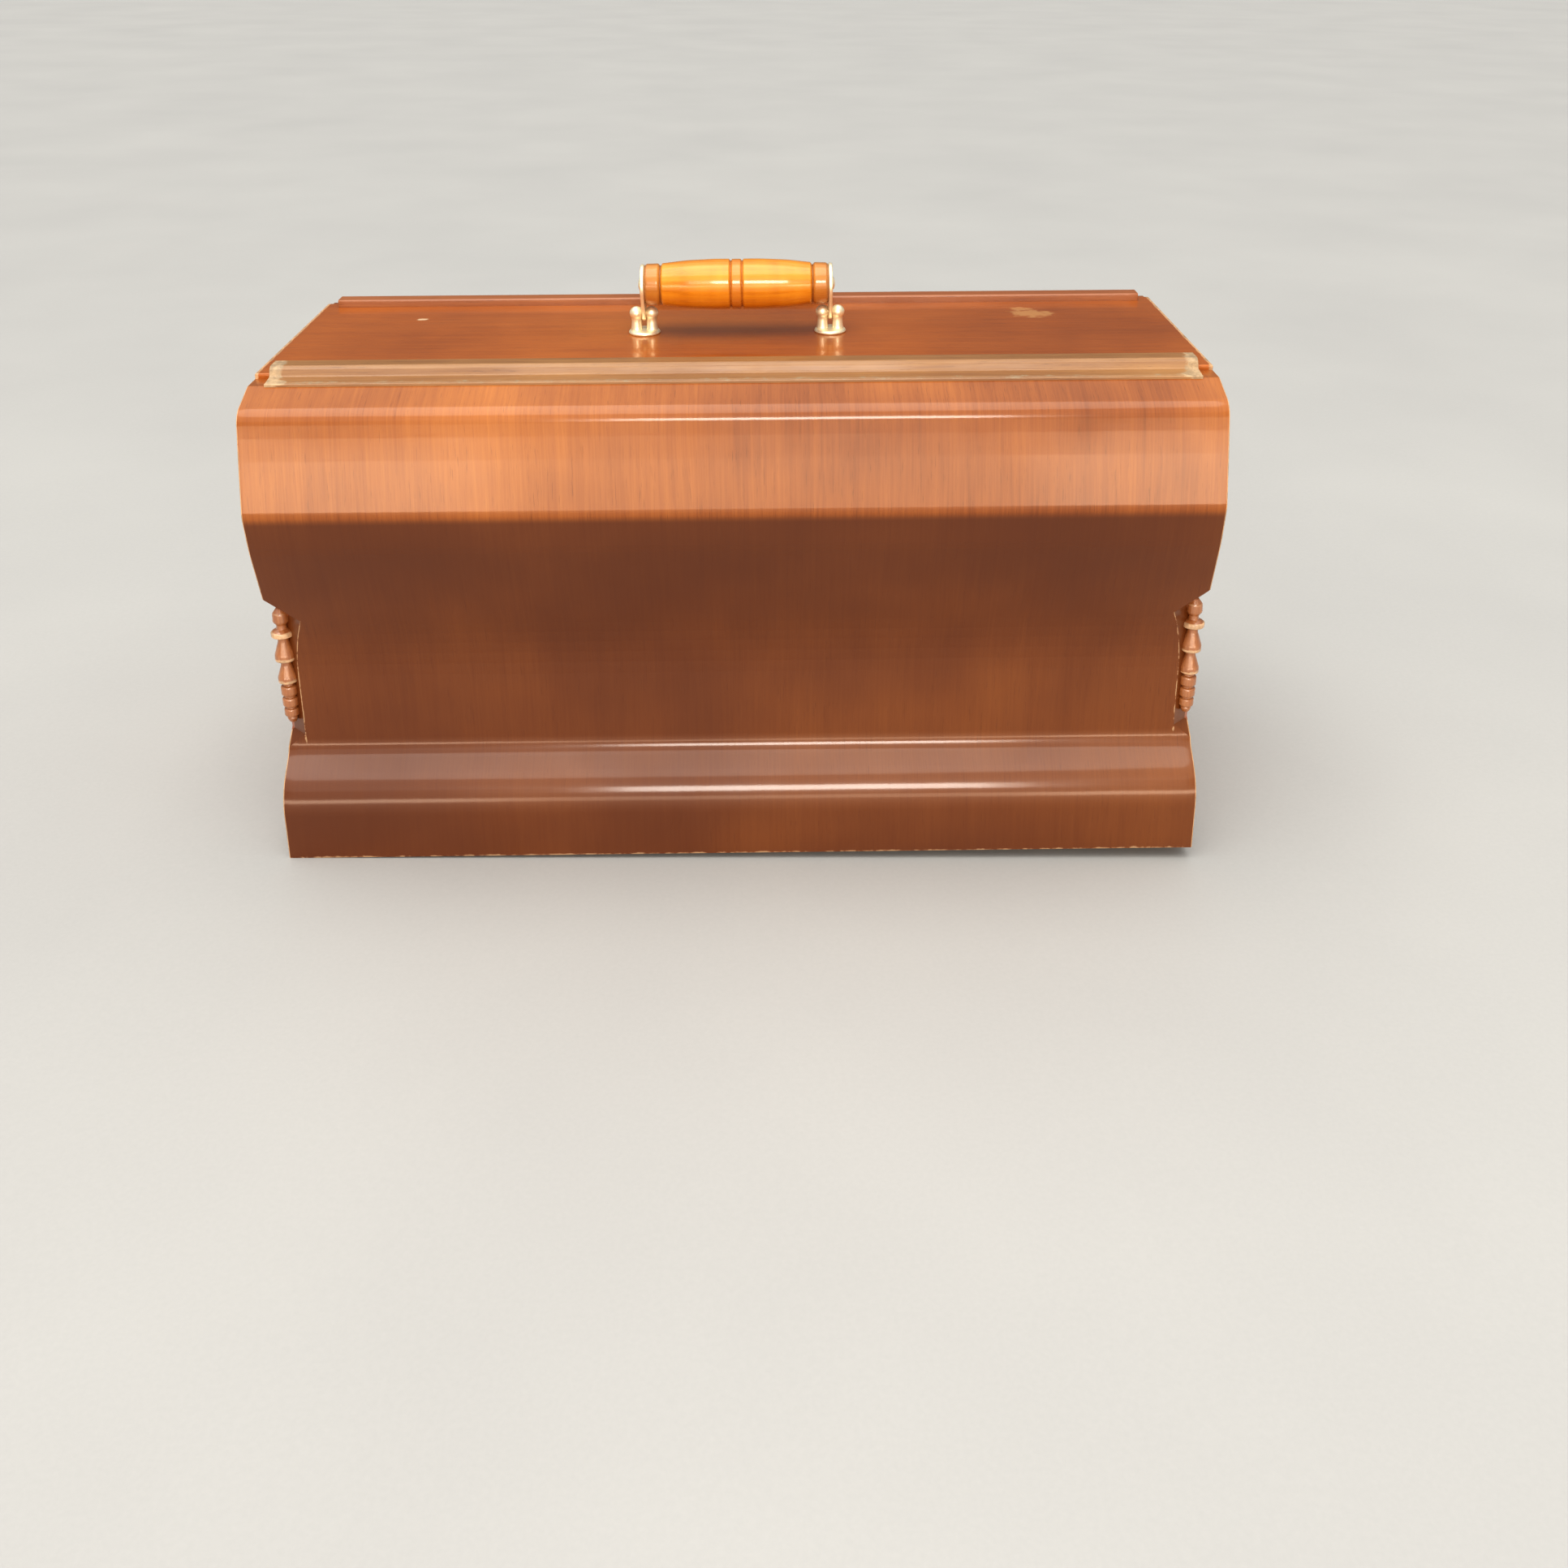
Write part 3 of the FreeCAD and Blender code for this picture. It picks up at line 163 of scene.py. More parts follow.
def inset(loop2, d):
    """Closed 2D loop moved into its own area by d, by mitres."""
    n = len(loop2)
    area2 = sum(loop2[i][0] * loop2[(i + 1) % n][1] - loop2[(i + 1) % n][0] * loop2[i][1] for i in range(n))
    sign = 1.0 if area2 > 0 else -1.0
    out = []
    for i in range(n):
        p0, p, p1 = Vector(loop2[i - 1]), Vector(loop2[i]), Vector(loop2[(i + 1) % n])
        e0, e1 = (p - p0).normalized(), (p1 - p).normalized()
        n0, n1 = Vector((-e0.y, e0.x)) * sign, Vector((-e1.y, e1.x)) * sign
        m = n0 + n1
        k = m.dot(n0)
        out.append(tuple(p + m * (d / k if abs(k) > 0.25 else d / 0.25)))
    return out


def sweep_x(name, loop2, half, w, place, steps=4):
    """Closed (off, height) loop swept along X to +-half, its end edges rounded by w.
    place maps (off, height) to (y, z)."""
    bm = bmesh.new()
    sections = []
    for j in range(steps + 1):
        t = math.pi / 2 * j / steps
        sections.append((half - w + w * math.sin(t), w * (1 - math.cos(t))))
    # sections run from the full outline inwards to the end face
    rings = []
    for x, d in [(-x, d) for x, d in reversed(sections)] + [(-half + w + 6.0, 0.0), (half - w - 6.0, 0.0)] + sections:
        shape = inset(loop2, d) if d > 1e-6 else loop2
        rings.append([bm.verts.new((x * MM, place(o, h)[0] * MM, place(o, h)[1] * MM)) for o, h in shape])
    n = len(loop2)
    for a, b in zip(rings, rings[1:]):
        for i in range(n):
            bm.faces.new((a[i], a[(i + 1) % n], b[(i + 1) % n], b[i]))
    bm.faces.new(rings[0])
    bm.faces.new(list(reversed(rings[-1])))
    return bm


def front_of(off, h):
    return -HALF_D + off, RIM + h


def back_of(off, h):
    return HALF_D - off, RIM + h


def lathe(name, profile, centre, axis="Z", segments=64, turn=0.0, crest_window=3.0, smooth=40.0):
    """Turning: profile is (radius, position along the axis) with optional radius 0 ends.
    Stores how far each ring stands out of its neighbourhood in the attribute crest."""
    pts = []
    for i, (r, s) in enumerate(profile):
        if i and math.hypot(r - pts[-1][0], s - pts[-1][1]) < 0.02:
            continue
        pts.append((r, s))
    total = [0.0]
    for a, b in zip(pts, pts[1:]):
        total.append(total[-1] + math.hypot(a[0] - b[0], a[1] - b[1]))
    crest = []
    for i, (r, s) in enumerate(pts):
        acc = wgt = 0.0
        for (r0, s0), (r1, s1) in zip(pts, pts[1:]):
            m = 0.5 * (s0 + s1)
            k = math.hypot(r1 - r0, s1 - s0) * math.exp(-((m - s) / crest_window) ** 2)
            acc += 0.5 * (r0 + r1) * k
            wgt += k
        crest.append(r - acc / max(wgt, 1e-6))
    bm = bmesh.new()
    layer = bm.verts.layers.float.new("crest")
    rings = []
    c = Vector(centre)
    for (r, s), k in zip(pts, crest):
        ring = []
        if r < 1e-4:
            p = c + (Vector((0, 0, s)) if axis == "Z" else Vector((s, 0, 0)))
            v = bm.verts.new(p * MM)
            v[layer] = k
            rings.append([v])
            continue
        for j in range(segments):
            a = 2 * math.pi * (j + turn) / segments
            if axis == "Z":
                p = c + Vector((r * math.cos(a), r * math.sin(a), s))
            else:
                p = c + Vector((s, r * math.cos(a), r * math.sin(a)))
            v = bm.verts.new(p * MM)
            v[layer] = k
            ring.append(v)
        rings.append(ring)
    for a, b in zip(rings, rings[1:]):
        if len(a) == 1 and len(b) == 1:
            continue
        for j in range(segments):
            k = (j + 1) % segments
            if len(a) == 1:
                bm.faces.new((a[0], b[j], b[k]))
            elif len(b) == 1:
                bm.faces.new((a[j], a[k], b[0]))
            else:
                bm.faces.new((a[j], a[k], b[k], b[j]))
    return bm


# ------------------------------------------------------------------- materials
class Nodes:
    """A material's node tree with short calls; sockets are given as (node, output) or nodes."""

    def __init__(self, name):
        self.m = bpy.data.materials.new(name)
        self.m.use_nodes = True
        self.t = self.m.node_tree
        self.t.nodes.clear()
        self.out = self.t.nodes.new("ShaderNodeOutputMaterial")
        self.b = self.t.nodes.new("ShaderNodeBsdfPrincipled")
        self.t.links.new(self.b.outputs[0], self.out.inputs["Surface"])
        self.coord = self.t.nodes.new("ShaderNodeTexCoord")
        self.sep = None

    def link(self, src, dst):
        if isinstance(src, bpy.types.Node):
            src = src.outputs[0]
        self.t.links.new(src, dst)

    def put(self, sock, value):
        if isinstance(value, (bpy.types.Node, bpy.types.NodeSocket)):
            self.link(value, sock)
        else:
            sock.default_value = value

    def xyz(self, axis):
        if self.sep is None:
            self.sep = self.t.nodes.new("ShaderNodeSeparateXYZ")
            self.link(self.coord.outputs["Object"], self.sep.inputs[0])
        return self.sep.outputs["XYZ".index(axis)]

    def normal(self, axis):
        s = self.t.nodes.new("ShaderNodeSeparateXYZ")
        self.link(self.coord.outputs["Normal"], s.inputs[0])
        return s.outputs["XYZ".index(axis)]

    def math(self, op, a, b=0.0, c=0.0, clamp=False):
        n = self.t.nodes.new("ShaderNodeMath")
        n.operation, n.use_clamp = op, clamp
        self.put(n.inputs[0], a)
        self.put(n.inputs[1], b)
        self.put(n.inputs[2], c)
        return n.outputs[0]

    def scaled(self, scale, offset=(0, 0, 0), rotation=(0, 0, 0), warp=None):
        m = self.t.nodes.new("ShaderNodeMapping")
        m.inputs["Scale"].default_value = scale
        m.inputs["Location"].default_value = offset
        m.inputs["Rotation"].default_value = rotation
        if warp is None:
            self.link(self.coord.outputs["Object"], m.inputs["Vector"])
        else:
            self.link(warp, m.inputs["Vector"])
        return m.outputs[0]

    def warp(self, amount, scale):
        """Object coordinates pushed about by a slow noise, amount in metres."""
        n = self.t.nodes.new("ShaderNodeTexNoise")
        self.link(self.coord.outputs["Object"], n.inputs["Vector"])
        n.inputs["Scale"].default_value = scale
        n.inputs["Detail"].default_value = 2.0
        s = self.t.nodes.new("ShaderNodeVectorMath")
        s.operation = "SUBTRACT"
        self.link(n.outputs["Color"], s.inputs[0])
        s.inputs[1].default_value = (0.5, 0.5, 0.5)
        k = self.t.nodes.new("ShaderNodeVectorMath")
        k.operation = "SCALE"
        self.link(s.outputs[0], k.inputs[0])
        k.inputs["Scale"].default_value = amount
        a = self.t.nodes.new("ShaderNodeVectorMath")
        a.operation = "ADD"
        self.link(self.coord.outputs["Object"], a.inputs[0])
        self.link(k.outputs[0], a.inputs[1])
        return a.outputs[0]

    def noise(self, vector, scale=1.0, detail=4.0, rough=0.55, distort=0.0):
        n = self.t.nodes.new("ShaderNodeTexNoise")
        self.link(vector, n.inputs["Vector"])
        n.inputs["Scale"].default_value = scale
        n.inputs["Detail"].default_value = detail
        n.inputs["Roughness"].default_value = rough
        n.inputs["Distortion"].default_value = distort
        return n.outputs["Fac"]

    def voronoi(self, vector, scale=1.0, feature="F1", rand=1.0):
        n = self.t.nodes.new("ShaderNodeTexVoronoi")
        n.feature = feature
        self.link(vector, n.inputs["Vector"])
        n.inputs["Scale"].default_value = scale
        n.inputs["Randomness"].default_value = rand
        return n.outputs["Distance"]

    def step(self, value, lo, hi, a=0.0, b=1.0):
        """Smooth step: a below lo, b above hi."""
        n = self.t.nodes.new("ShaderNodeMapRange")
        n.interpolation_type = "SMOOTHSTEP"
        self.put(n.inputs["Value"], value)
        n.inputs["From Min"].default_value = lo
        n.inputs["From Max"].default_value = hi
        n.inputs["To Min"].default_value = a
        n.inputs["To Max"].default_value = b
        return n.outputs["Result"]

    def ramp(self, fac, stops, mode="LINEAR"):
        n = self.t.nodes.new("ShaderNodeValToRGB")
        self.put(n.inputs["Fac"], fac)
        n.color_ramp.interpolation = mode
        e = n.color_ramp.elements
        while len(e) < len(stops):
            e.new(0.5)
        for el, (p, c) in zip(e, stops):
            el.position = p
            el.color = (*c, 1.0)
        return n.outputs["Color"]

    def mix(self, fac, a, b, mode="MIX"):
        n = self.t.nodes.new("ShaderNodeMix")
        n.data_type, n.blend_type = "RGBA", mode
        n.clamp_factor = True
        self.put(n.inputs[0], fac)
        for s, v in ((n.inputs[6], a), (n.inputs[7], b)):
            self.put(s, (*v, 1.0) if isinstance(v, tuple) and len(v) == 3 else v)
        return n.outputs[2]

    def attribute(self, name):
        n = self.t.nodes.new("ShaderNodeAttribute")
        n.attribute_name = name
        return n.outputs["Fac"]

    def bump(self, height, strength, distance, normal=None):
        n = self.t.nodes.new("ShaderNodeBump")
        n.inputs["Strength"].default_value = strength
        n.inputs["Distance"].default_value = distance
        self.put(n.inputs["Height"], height)
        if normal is not None:
            self.link(normal, n.inputs["Normal"])
        return n.outputs["Normal"]

    def finish(self, color, rough, normal=None, metallic=0.0, coat=0.0, coat_rough=0.1, spec=0.5, coat_normal=None):
        b = self.b.inputs
        self.put(b["Base Color"], color)
        self.put(b["Roughness"], rough)
        b["Metallic"].default_value = metallic
        b["Coat Weight"].default_value = coat
        b["Coat Roughness"].default_value = coat_rough
        b["Specular IOR Level"].default_value = spec
        if normal is not None:
            self.link(normal, b["Normal"])
        if coat_normal is not None:
            self.link(coat_normal, b["Coat Normal"])
        return self.m


def dist_plane(g, a, b, c, d):
    """a|x| + b|y| + c z + d, in metres, from object coordinates."""
    ax = g.math("ABSOLUTE", g.xyz("X"))
    ay = g.math("ABSOLUTE", g.xyz("Y"))
    v = g.math("MULTIPLY", ax, a)
    v = g.math("MULTIPLY_ADD", ay, b, v)
    v = g.math("MULTIPLY_ADD", g.xyz("Z"), c, v)
    return g.math("ADD", v, d)


def wood(name, along, dark, mid, light, pale, streak=1.0, gloss=0.3, coat=1.0, coat_rough=0.08,
         fine=420.0, wear=None, stains_and_painted_light=None, figure=0.0, bump=1.0, offset=(0, 0, 0), mottled=1.0, endgrain=None,
         contrast=1.0, spec=1.0, shade=None):
    """Polished wood.  along is the axis that the grain follows ('X', 'Z', or 'P' for up a side's profile)."""
    g = Nodes(name)
    w = g.warp(0.005, 6.0)

    def s(across, with_, warp=w, off=offset):
        if along == "X":
            return g.scaled((with_, across, across), off, warp=warp)
        if along == "Z":
            return g.scaled((across, across, with_), off, warp=warp)
        return g.scaled((across, with_, with_), off, warp=warp)

    big = g.noise(s(5.5, 6.5), 1.0, 3.0, 0.5)
    band = g.noise(s(38.0, 3.2), 1.0, 4.0, 0.6, 0.3)
    streaks = g.noise(s(190.0, 7.0), 1.0, 4.0, 0.6)
    hair = g.noise(s(fine * 1.6, 18.0), 1.0, 3.0, 0.7)
    pores = g.noise(s(fine * 4.2, 80.0), 1.0, 2.0, 0.6)
    f = g.math("MULTIPLY", g.math("SUBTRACT", big, 0.5), 1.15 * mottled)
    f = g.math("MULTIPLY_ADD", g.math("SUBTRACT", band, 0.5), 0.40, f)
    f = g.math("MULTIPLY_ADD", g.math("SUBTRACT", streaks, 0.5), 0.50 * streak, f)
    f = g.math("MULTIPLY_ADD", g.math("SUBTRACT", hair, 0.5), 0.75 * streak, f)
    f = g.math("MULTIPLY_ADD", f, contrast, 0.5)
    deep = tuple(0.6 * c for c in dark)
    top = tuple(min(1.0, 1.3 * c) for c in light)
    col = g.ramp(f, [(0.0, deep), (0.25, dark), (0.5, mid), (0.75, light), (1.0, top)], "B_SPLINE")
    pore = g.step(pores, 0.60, 0.74)
    col = g.mix(g.math("MULTIPLY", pore, 0.38), col, tuple(0.45 * c for c in dark))
    # stains and bare patches, and patches of painted light, laid over the grain
    if stains_and_painted_light:
        for st in stains_and_painted_light:
            col = st(g, col)
    if shade is not None:
        # painted shade: the colour is darkened where the shade mask is high, standing in for shade under overhangs
        col = g.mix(shade(g, big), col, tuple(0.62 * c for c in dark))
    rough = g.math("MULTIPLY_ADD", streaks, 0.16, gloss - 0.08)
    smear = g.noise(g.scaled((11, 11, 11), (3, 1, 2)), 1.0, 4.0, 0.6)
    rough = g.math("MULTIPLY_ADD", g.step(smear, 0.42, 0.75), 0.14, rough)
    if wear is not None:
        m = wear(g)
        chew = g.noise(g.scaled((160, 160, 160)), 1.0, 5.0, 0.7)
        m = g.step(g.math("MULTIPLY_ADD", g.math("SUBTRACT", chew, 0.5), 1.1, m), 0.42, 0.62)
        bare = g.mix(g.step(chew, 0.35, 0.65), pale, tuple(0.55 * c for c in pale))
        col = g.mix(g.math("MULTIPLY", m, 0.85), col, bare)
        rough = g.math("MULTIPLY_ADD", m, 0.22, rough)
    if endgrain is not None:
        # sawn ends: darker, with the grain seen end on
        ax = g.math("ABSOLUTE", g.normal("X"))
        e = g.step(ax, 0.75, 0.95)
        dots = g.noise(g.scaled((30, 900, 900)), 1.0, 3.0, 0.7)
        rings = g.noise(g.scaled((10, 60, 140), warp=w), 1.0, 3.0, 0.6)
        ecol = g.ramp(g.math("MULTIPLY_ADD", dots, 0.5, g.math("MULTIPLY", rings, 0.5)),
                      [(0.3, tuple(0.5 * c for c in endgrain)), (0.62, endgrain)])
        col = g.mix(g.math("MULTIPLY", e, 0.85), col, ecol)
        rough = g.math("MULTIPLY_ADD", e, 0.12, rough)
    wave = g.noise(g.scaled((13, 13, 13)), 1.0, 2.0, 0.5)
    h = g.math("MULTIPLY_ADD", pore, -0.5, g.math("MULTIPLY", hair, 0.5))
    n1 = g.bump(h, 0.20 * bump, 0.00022)
    n2 = g.bump(wave, 0.25, 0.0014 * bump, n1)
    n3 = g.bump(wave, 0.25, 0.0014 * bump)
    dust = g.noise(g.scaled((700, 700, 700)), 1.0, 3.0, 0.6)
    n3 = g.bump(g.math("MULTIPLY_ADD", hair, 0.6, g.math("MULTIPLY", dust, 0.4)), 0.035 * bump, 0.0002, n3)
    return g.finish(col, rough, n2, coat=coat, coat_rough=coat_rough, coat_normal=n3, spec=spec)


def spot(x, y, z, rx, ry, rz, color, strength, edge=0.35, grit=0.6, scale=220.0):
    """A stain, bare patch, ding or patch of painted light at a place on the object, broken up by a fine noise."""
    def add(g, col):
        m = g.t.nodes.new("ShaderNodeMapping")
        m.vector_type = "POINT"
        m.inputs["Location"].default_value = (-x / rx, -y / ry, -z / rz)
        m.inputs["Scale"].default_value = (1000.0 / rx, 1000.0 / ry, 1000.0 / rz)
        g.link(g.coord.outputs["Object"], m.inputs["Vector"])
        ln = g.t.nodes.new("ShaderNodeVectorMath")
        ln.operation = "LENGTH"
        g.link(m.outputs[0], ln.inputs[0])
        nz = g.noise(g.scaled((scale, scale, scale), (x, y, z)), 1.0, 3.0, 0.6)
        d = g.math("MULTIPLY_ADD", g.math("SUBTRACT", nz, 0.5), grit * 2, ln.outputs["Value"])
        return g.mix(g.math("MULTIPLY", g.step(d, 1.0 - edge, 1.0 + edge, 1.0, 0.0), strength), col, color)
    return add


def metal(name, base, tarnish, rough=0.25, amount=0.5, scale=90.0, crest=False, bump=1.0, metallic=1.0):
    g = Nodes(name)
    n = g.noise(g.scaled((scale, scale, scale)), 1.0, 6.0, 0.65)
    p = g.noise(g.scaled((scale * 9, scale * 9, scale * 9)), 1.0, 3.0, 0.6)
    f = g.math("MULTIPLY_ADD", p, 0.45, g.math("MULTIPLY", n, 0.75))
    m = g.step(f, 0.72 - 0.35 * amount, 1.0 - 0.3 * amount)
    if crest:
        k = g.attribute("crest")
        m = g.math("ADD", m, g.step(k, -0.9, 0.1, 0.55, 0.0), clamp=True)
    col = g.mix(m, base, tarnish)
    r = g.math("MULTIPLY_ADD", m, 0.28, g.math("MULTIPLY_ADD", p, 0.10, rough - 0.05))
    scratch = g.noise(g.scaled((2400, 260, 2400), rotation=(0.5, 0.3, 0.9)), 1.0, 2.0, 0.6)
    h = g.math("MULTIPLY_ADD", scratch, 0.5, p)
    nrm = g.bump(h, 0.18 * bump, 0.00015)
    return g.finish(col, r, nrm, metallic=metallic)


def assign(o, material):
    if o.data.materials:
        for i in range(len(o.data.materials)):
            o.data.materials[i] = material
    else:
        o.data.materials.append(material)
    return o


def piece(o, material, body, slot, *nodes):
    assign(o, material)
    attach(o, body)
    if nodes:
        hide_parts(*nodes)
    return o


def painted_under_shade(g, n):
    """Mask of painted shade: under the overhang of the widest line, strongest just below it, and in the foot's
    hollow.
    """
    z = g.xyz("Z")
    a = g.math("MULTIPLY", g.step(z, 0.2290, 0.2350, 1.0, 0.0), g.step(z, 0.150, 0.225, 0.92, 1.0))
    b = g.step(z, 0.046, 0.058, 1.0, 0.92)
    m = g.math("MULTIPLY", a, b)
    return g.math("MULTIPLY", m, g.step(n, 0.25, 0.75, 1.0, 0.78))


# masks of rubbed edges
def panel_wear(g):
    end = g.step(g.math("ABSOLUTE", g.xyz("X")), 0.2768, 0.2777, 0.0, 0.78)
    # the edges of the 45 degree notch flats at the corners, and the bottom rim
    notch = dist_plane(g, 0.70711, 0.70711, 0.0, -(HALF_L - NOTCH_LEG + HALF_D - NECK) * MM * 0.70711)
    n = g.math("MULTIPLY", g.step(g.math("ABSOLUTE", notch), 0.0002, 0.0010, 0.55, 0.0),
               g.math("MULTIPLY", g.step(g.xyz("Z"), 0.070, 0.078), g.step(g.xyz("Z"), 0.158, 0.166, 1.0, 0.0)))
    n = g.math("MULTIPLY", n, g.step(g.math("ABSOLUTE", g.normal("X")), 0.2, 0.5, 1.0, 0.0))
    rim = g.step(g.xyz("Z"), 0.0082, 0.0110, 0.5, 0.0)
    return g.math("MAXIMUM", g.math("MAXIMUM", end, n), rim)


def board_wear(g):
    return g.step(g.math("ABSOLUTE", g.xyz("X")), 0.2735, 0.2779)


def mould_wear(g):
    end = g.step(g.math("ABSOLUTE", g.xyz("X")), 0.252, 0.268, 0.0, 0.85)
    z = g.xyz("Z")
    low = g.math("MULTIPLY", g.step(z, 0.3016, 0.3022), g.step(z, 0.3028, 0.3033, 1.0, 0.0))
    return g.math("MULTIPLY_ADD", low, 0.40, end)


def mould_wear_back(g):
    return g.math("MULTIPLY", mould_wear(g), 0.35)


def crest_wear(lo, hi, amount):
    def f(g):
        return g.step(g.attribute("crest"), lo, hi, 0.0, amount)
    return f


PALE = (0.72, 0.47, 0.27)
# painted shade darkens this veneer below the widest line
M_FRONT = wood("veneer_front", "P", (0.17, 0.044, 0.007), (0.30, 0.094, 0.016), (0.42, 0.155, 0.030), PALE,
               wear=panel_wear, gloss=0.40, coat=0.7, coat_rough=0.13, endgrain=(0.14, 0.045, 0.018), contrast=0.42,
               mottled=2.0, spec=0.35, shade=painted_under_shade)
M_TOP = wood("top_wood", "X", (0.22, 0.056, 0.008), (0.36, 0.104, 0.014), (0.47, 0.155, 0.024), PALE,
             wear=board_wear, gloss=0.34, coat=0.6, coat_rough=0.09, fine=300.0, streak=0.7, endgrain=(0.18, 0.06, 0.02), contrast=0.5,
             spec=0.3, mottled=1.5, stains_and_painted_light=[
                 spot(-143, -70, 304.4, 17, 9, 30, (0.085, 0.016, 0.004), 0.55, 0.6),
                 spot(-185, -76, 304.4, 13, 6, 30, (0.10, 0.02, 0.005), 0.45, 0.6),
                 spot(191, 40, 304.4, 12, 9, 30, (0.55, 0.32, 0.13), 0.55, 0.25, 1.0, 160.0),
                 spot(186, 52, 304.4, 7, 4, 30, (0.55, 0.32, 0.13), 0.5, 0.25, 1.0, 200.0),
                 spot(-205, 38, 304.4, 3.2, 2.2, 30, (0.72, 0.55, 0.36), 0.85, 0.3, 0.6, 300.0),
                 # painted light: the broad lighter, warmer patch under the handle stands in for light where the
                 # handle shades the top; the other spots are stains and bare patches
                 spot(-30, 10, 304.4, 60, 34, 30, (0.42, 0.16, 0.02), 0.35, 0.8)])
M_MOULD = wood("moulding_wood", "X", (0.16, 0.060, 0.015), (0.27, 0.125, 0.034), (0.36, 0.19, 0.062), (0.52, 0.38, 0.23),
               wear=mould_wear, gloss=0.45, coat=0.25, coat_rough=0.25, fine=300.0, endgrain=(0.34, 0.17, 0.08), contrast=0.6)
M_MOULD_BACK = wood("moulding_wood_back", "X", (0.20, 0.052, 0.009), (0.31, 0.098, 0.020), (0.40, 0.15, 0.036), (0.50, 0.32, 0.17),
                    wear=mould_wear_back, gloss=0.45, coat=0.25, coat_rough=0.25, fine=300.0, endgrain=(0.24, 0.09, 0.03), contrast=0.5)
M_END = wood("end_wood", "Z", (0.18, 0.040, 0.009), (0.30, 0.078, 0.018), (0.42, 0.13, 0.034), PALE,
             gloss=0.34, coat_rough=0.18, contrast=0.7)
M_COLUMN = wood("column_wood", "Z", (0.17, 0.048, 0.012), (0.33, 0.12, 0.036), (0.46, 0.21, 0.08), (0.72, 0.48, 0.28),
                wear=crest_wear(0.1, 1.1, 0.72), gloss=0.34, coat_rough=0.16, contrast=0.6)
M_INNER = wood("inner_wood", "X", (0.24, 0.135, 0.06), (0.38, 0.235, 0.12), (0.50, 0.335, 0.18), PALE,
               gloss=0.6, coat=0.0, mottled=0.6, contrast=0.7)
M_NICKEL = metal("handle_metal", (0.95, 0.84, 0.62), (0.66, 0.47, 0.22), rough=0.38, amount=0.22, metallic=0.7)
M_STEEL = metal("inner_metal", (0.42, 0.40, 0.37), (0.16, 0.12, 0.09), rough=0.42, amount=0.6)
M_LOCK = metal("lock_metal", (0.62, 0.47, 0.23), (0.26, 0.17, 0.08), rough=0.34, amount=0.5)
M_SCREW = metal("screw_metal", (0.34, 0.31, 0.28), (0.13, 0.09, 0.06), rough=0.42, amount=0.6)
M_HOOK = metal("hook_metal", (0.44, 0.42, 0.39), (0.17, 0.13, 0.10), rough=0.36, amount=0.5)


def grip_wood():
    g = Nodes("grip_wood")
    w = g.warp(0.004, 12.0)
    a = g.noise(g.scaled((7.0, 260.0, 260.0), warp=w), 1.0, 4.0, 0.6)
    b = g.noise(g.scaled((26.0, 60.0, 60.0), warp=w), 1.0, 3.0, 0.6)
    flame = g.noise(g.scaled((75.0, 9.0, 9.0), warp=w), 1.0, 3.0, 0.55)
    f = g.math("MULTIPLY_ADD", a, 0.45, g.math("MULTIPLY_ADD", b, 0.3, g.math("MULTIPLY", flame, 0.3)))
    col = g.ramp(f, [(0.30, (0.40, 0.125, 0.009)), (0.50, (0.62, 0.235, 0.016)), (0.72, (0.76, 0.34, 0.036))])
    k = g.attribute("crest")
    groove = g.step(k, -1.05, -0.12, 1.0, 0.0)
    col = g.mix(g.math("MULTIPLY", groove, 0.92), col, (0.10, 0.018, 0.006))
    x = g.math("ABSOLUTE", g.xyz("X"))
    collar = g.step(x, 0.0448, 0.0488)
    col = g.mix(g.math("MULTIPLY", collar, 0.55), col, (0.36, 0.16, 0.06))
    end = g.step(x, 0.0545, 0.0572)
    col = g.mix(g.math("MULTIPLY", end, 0.6), col, (0.30, 0.17, 0.09))
    mid = g.step(x, 0.0030, 0.0055, 1.0, 0.0)
    col = g.mix(g.math("MULTIPLY", mid, 0.35), col, (0.45, 0.16, 0.05))
    rough = g.math("MULTIPLY_ADD", a, 0.12, 0.22)
    nrm = g.bump(a, 0.12, 0.0002)
    return g.finish(col, rough, nrm, coat=0.6, coat_rough=0.12, spec=0.4)


M_GRIP = grip_wood()


# --------------------------------------------------------------------- panels
def notch_cutter(sx, sy):
    """The wedge of air at a corner, square to the 45 degree flat."""
    n = Vector((sx, sy, 0)).normalized()
    t = Vector((-n.y, n.x, 0))
    c = Vector(((HALF_L - NOTCH_LEG) * sx, (HALF_D - NECK) * sy, RIM))
    poly = [(0, NOTCH_LOW), (0, NOTCH_HIGH), (46, NOTCH_HIGH + 46), (46, NOTCH_LOW - 46)]
    bm = bmesh.new()
    rings = [[bm.verts.new((c + t * s + n * u + Vector((0, 0, h))) * MM) for u, h in poly] for s in (-40, 40)]
    for i in range(4):
        j = (i + 1) % 4
        bm.faces.new((rings[0][i], rings[0][j], rings[1][j], rings[1][i]))
    bm.faces.new(rings[0])
    bm.faces.new(list(reversed(rings[1])))
    return new_object("cutter", bm, smooth=0)


def panel(name, place, sy):
    inner = offset_side(OUTER, PANEL_T)
    outer = rounded(OUTER, 4.0, closed=False)
    inn = rounded([(p.x, p.y, r) for p, r in zip(inner, INNER_R)], 9.0, closed=False)
    loop2 = outer + list(reversed(inn))
    bm = sweep_x(name, loop2, HALF_L, 0.6, place)
    o = new_object(name, bm, smooth=0)
    for sx in (-1, 1):
        boolean(o, notch_cutter(sx, sy))
    shade(o, 30.0)
    return piece(o, M_FRONT, "root", "veneer_front", name)


panel("front_panel", front_of, -1).name = "front_panel_veneered"
panel("back_panel", back_of, 1).name = "back_panel_veneered"

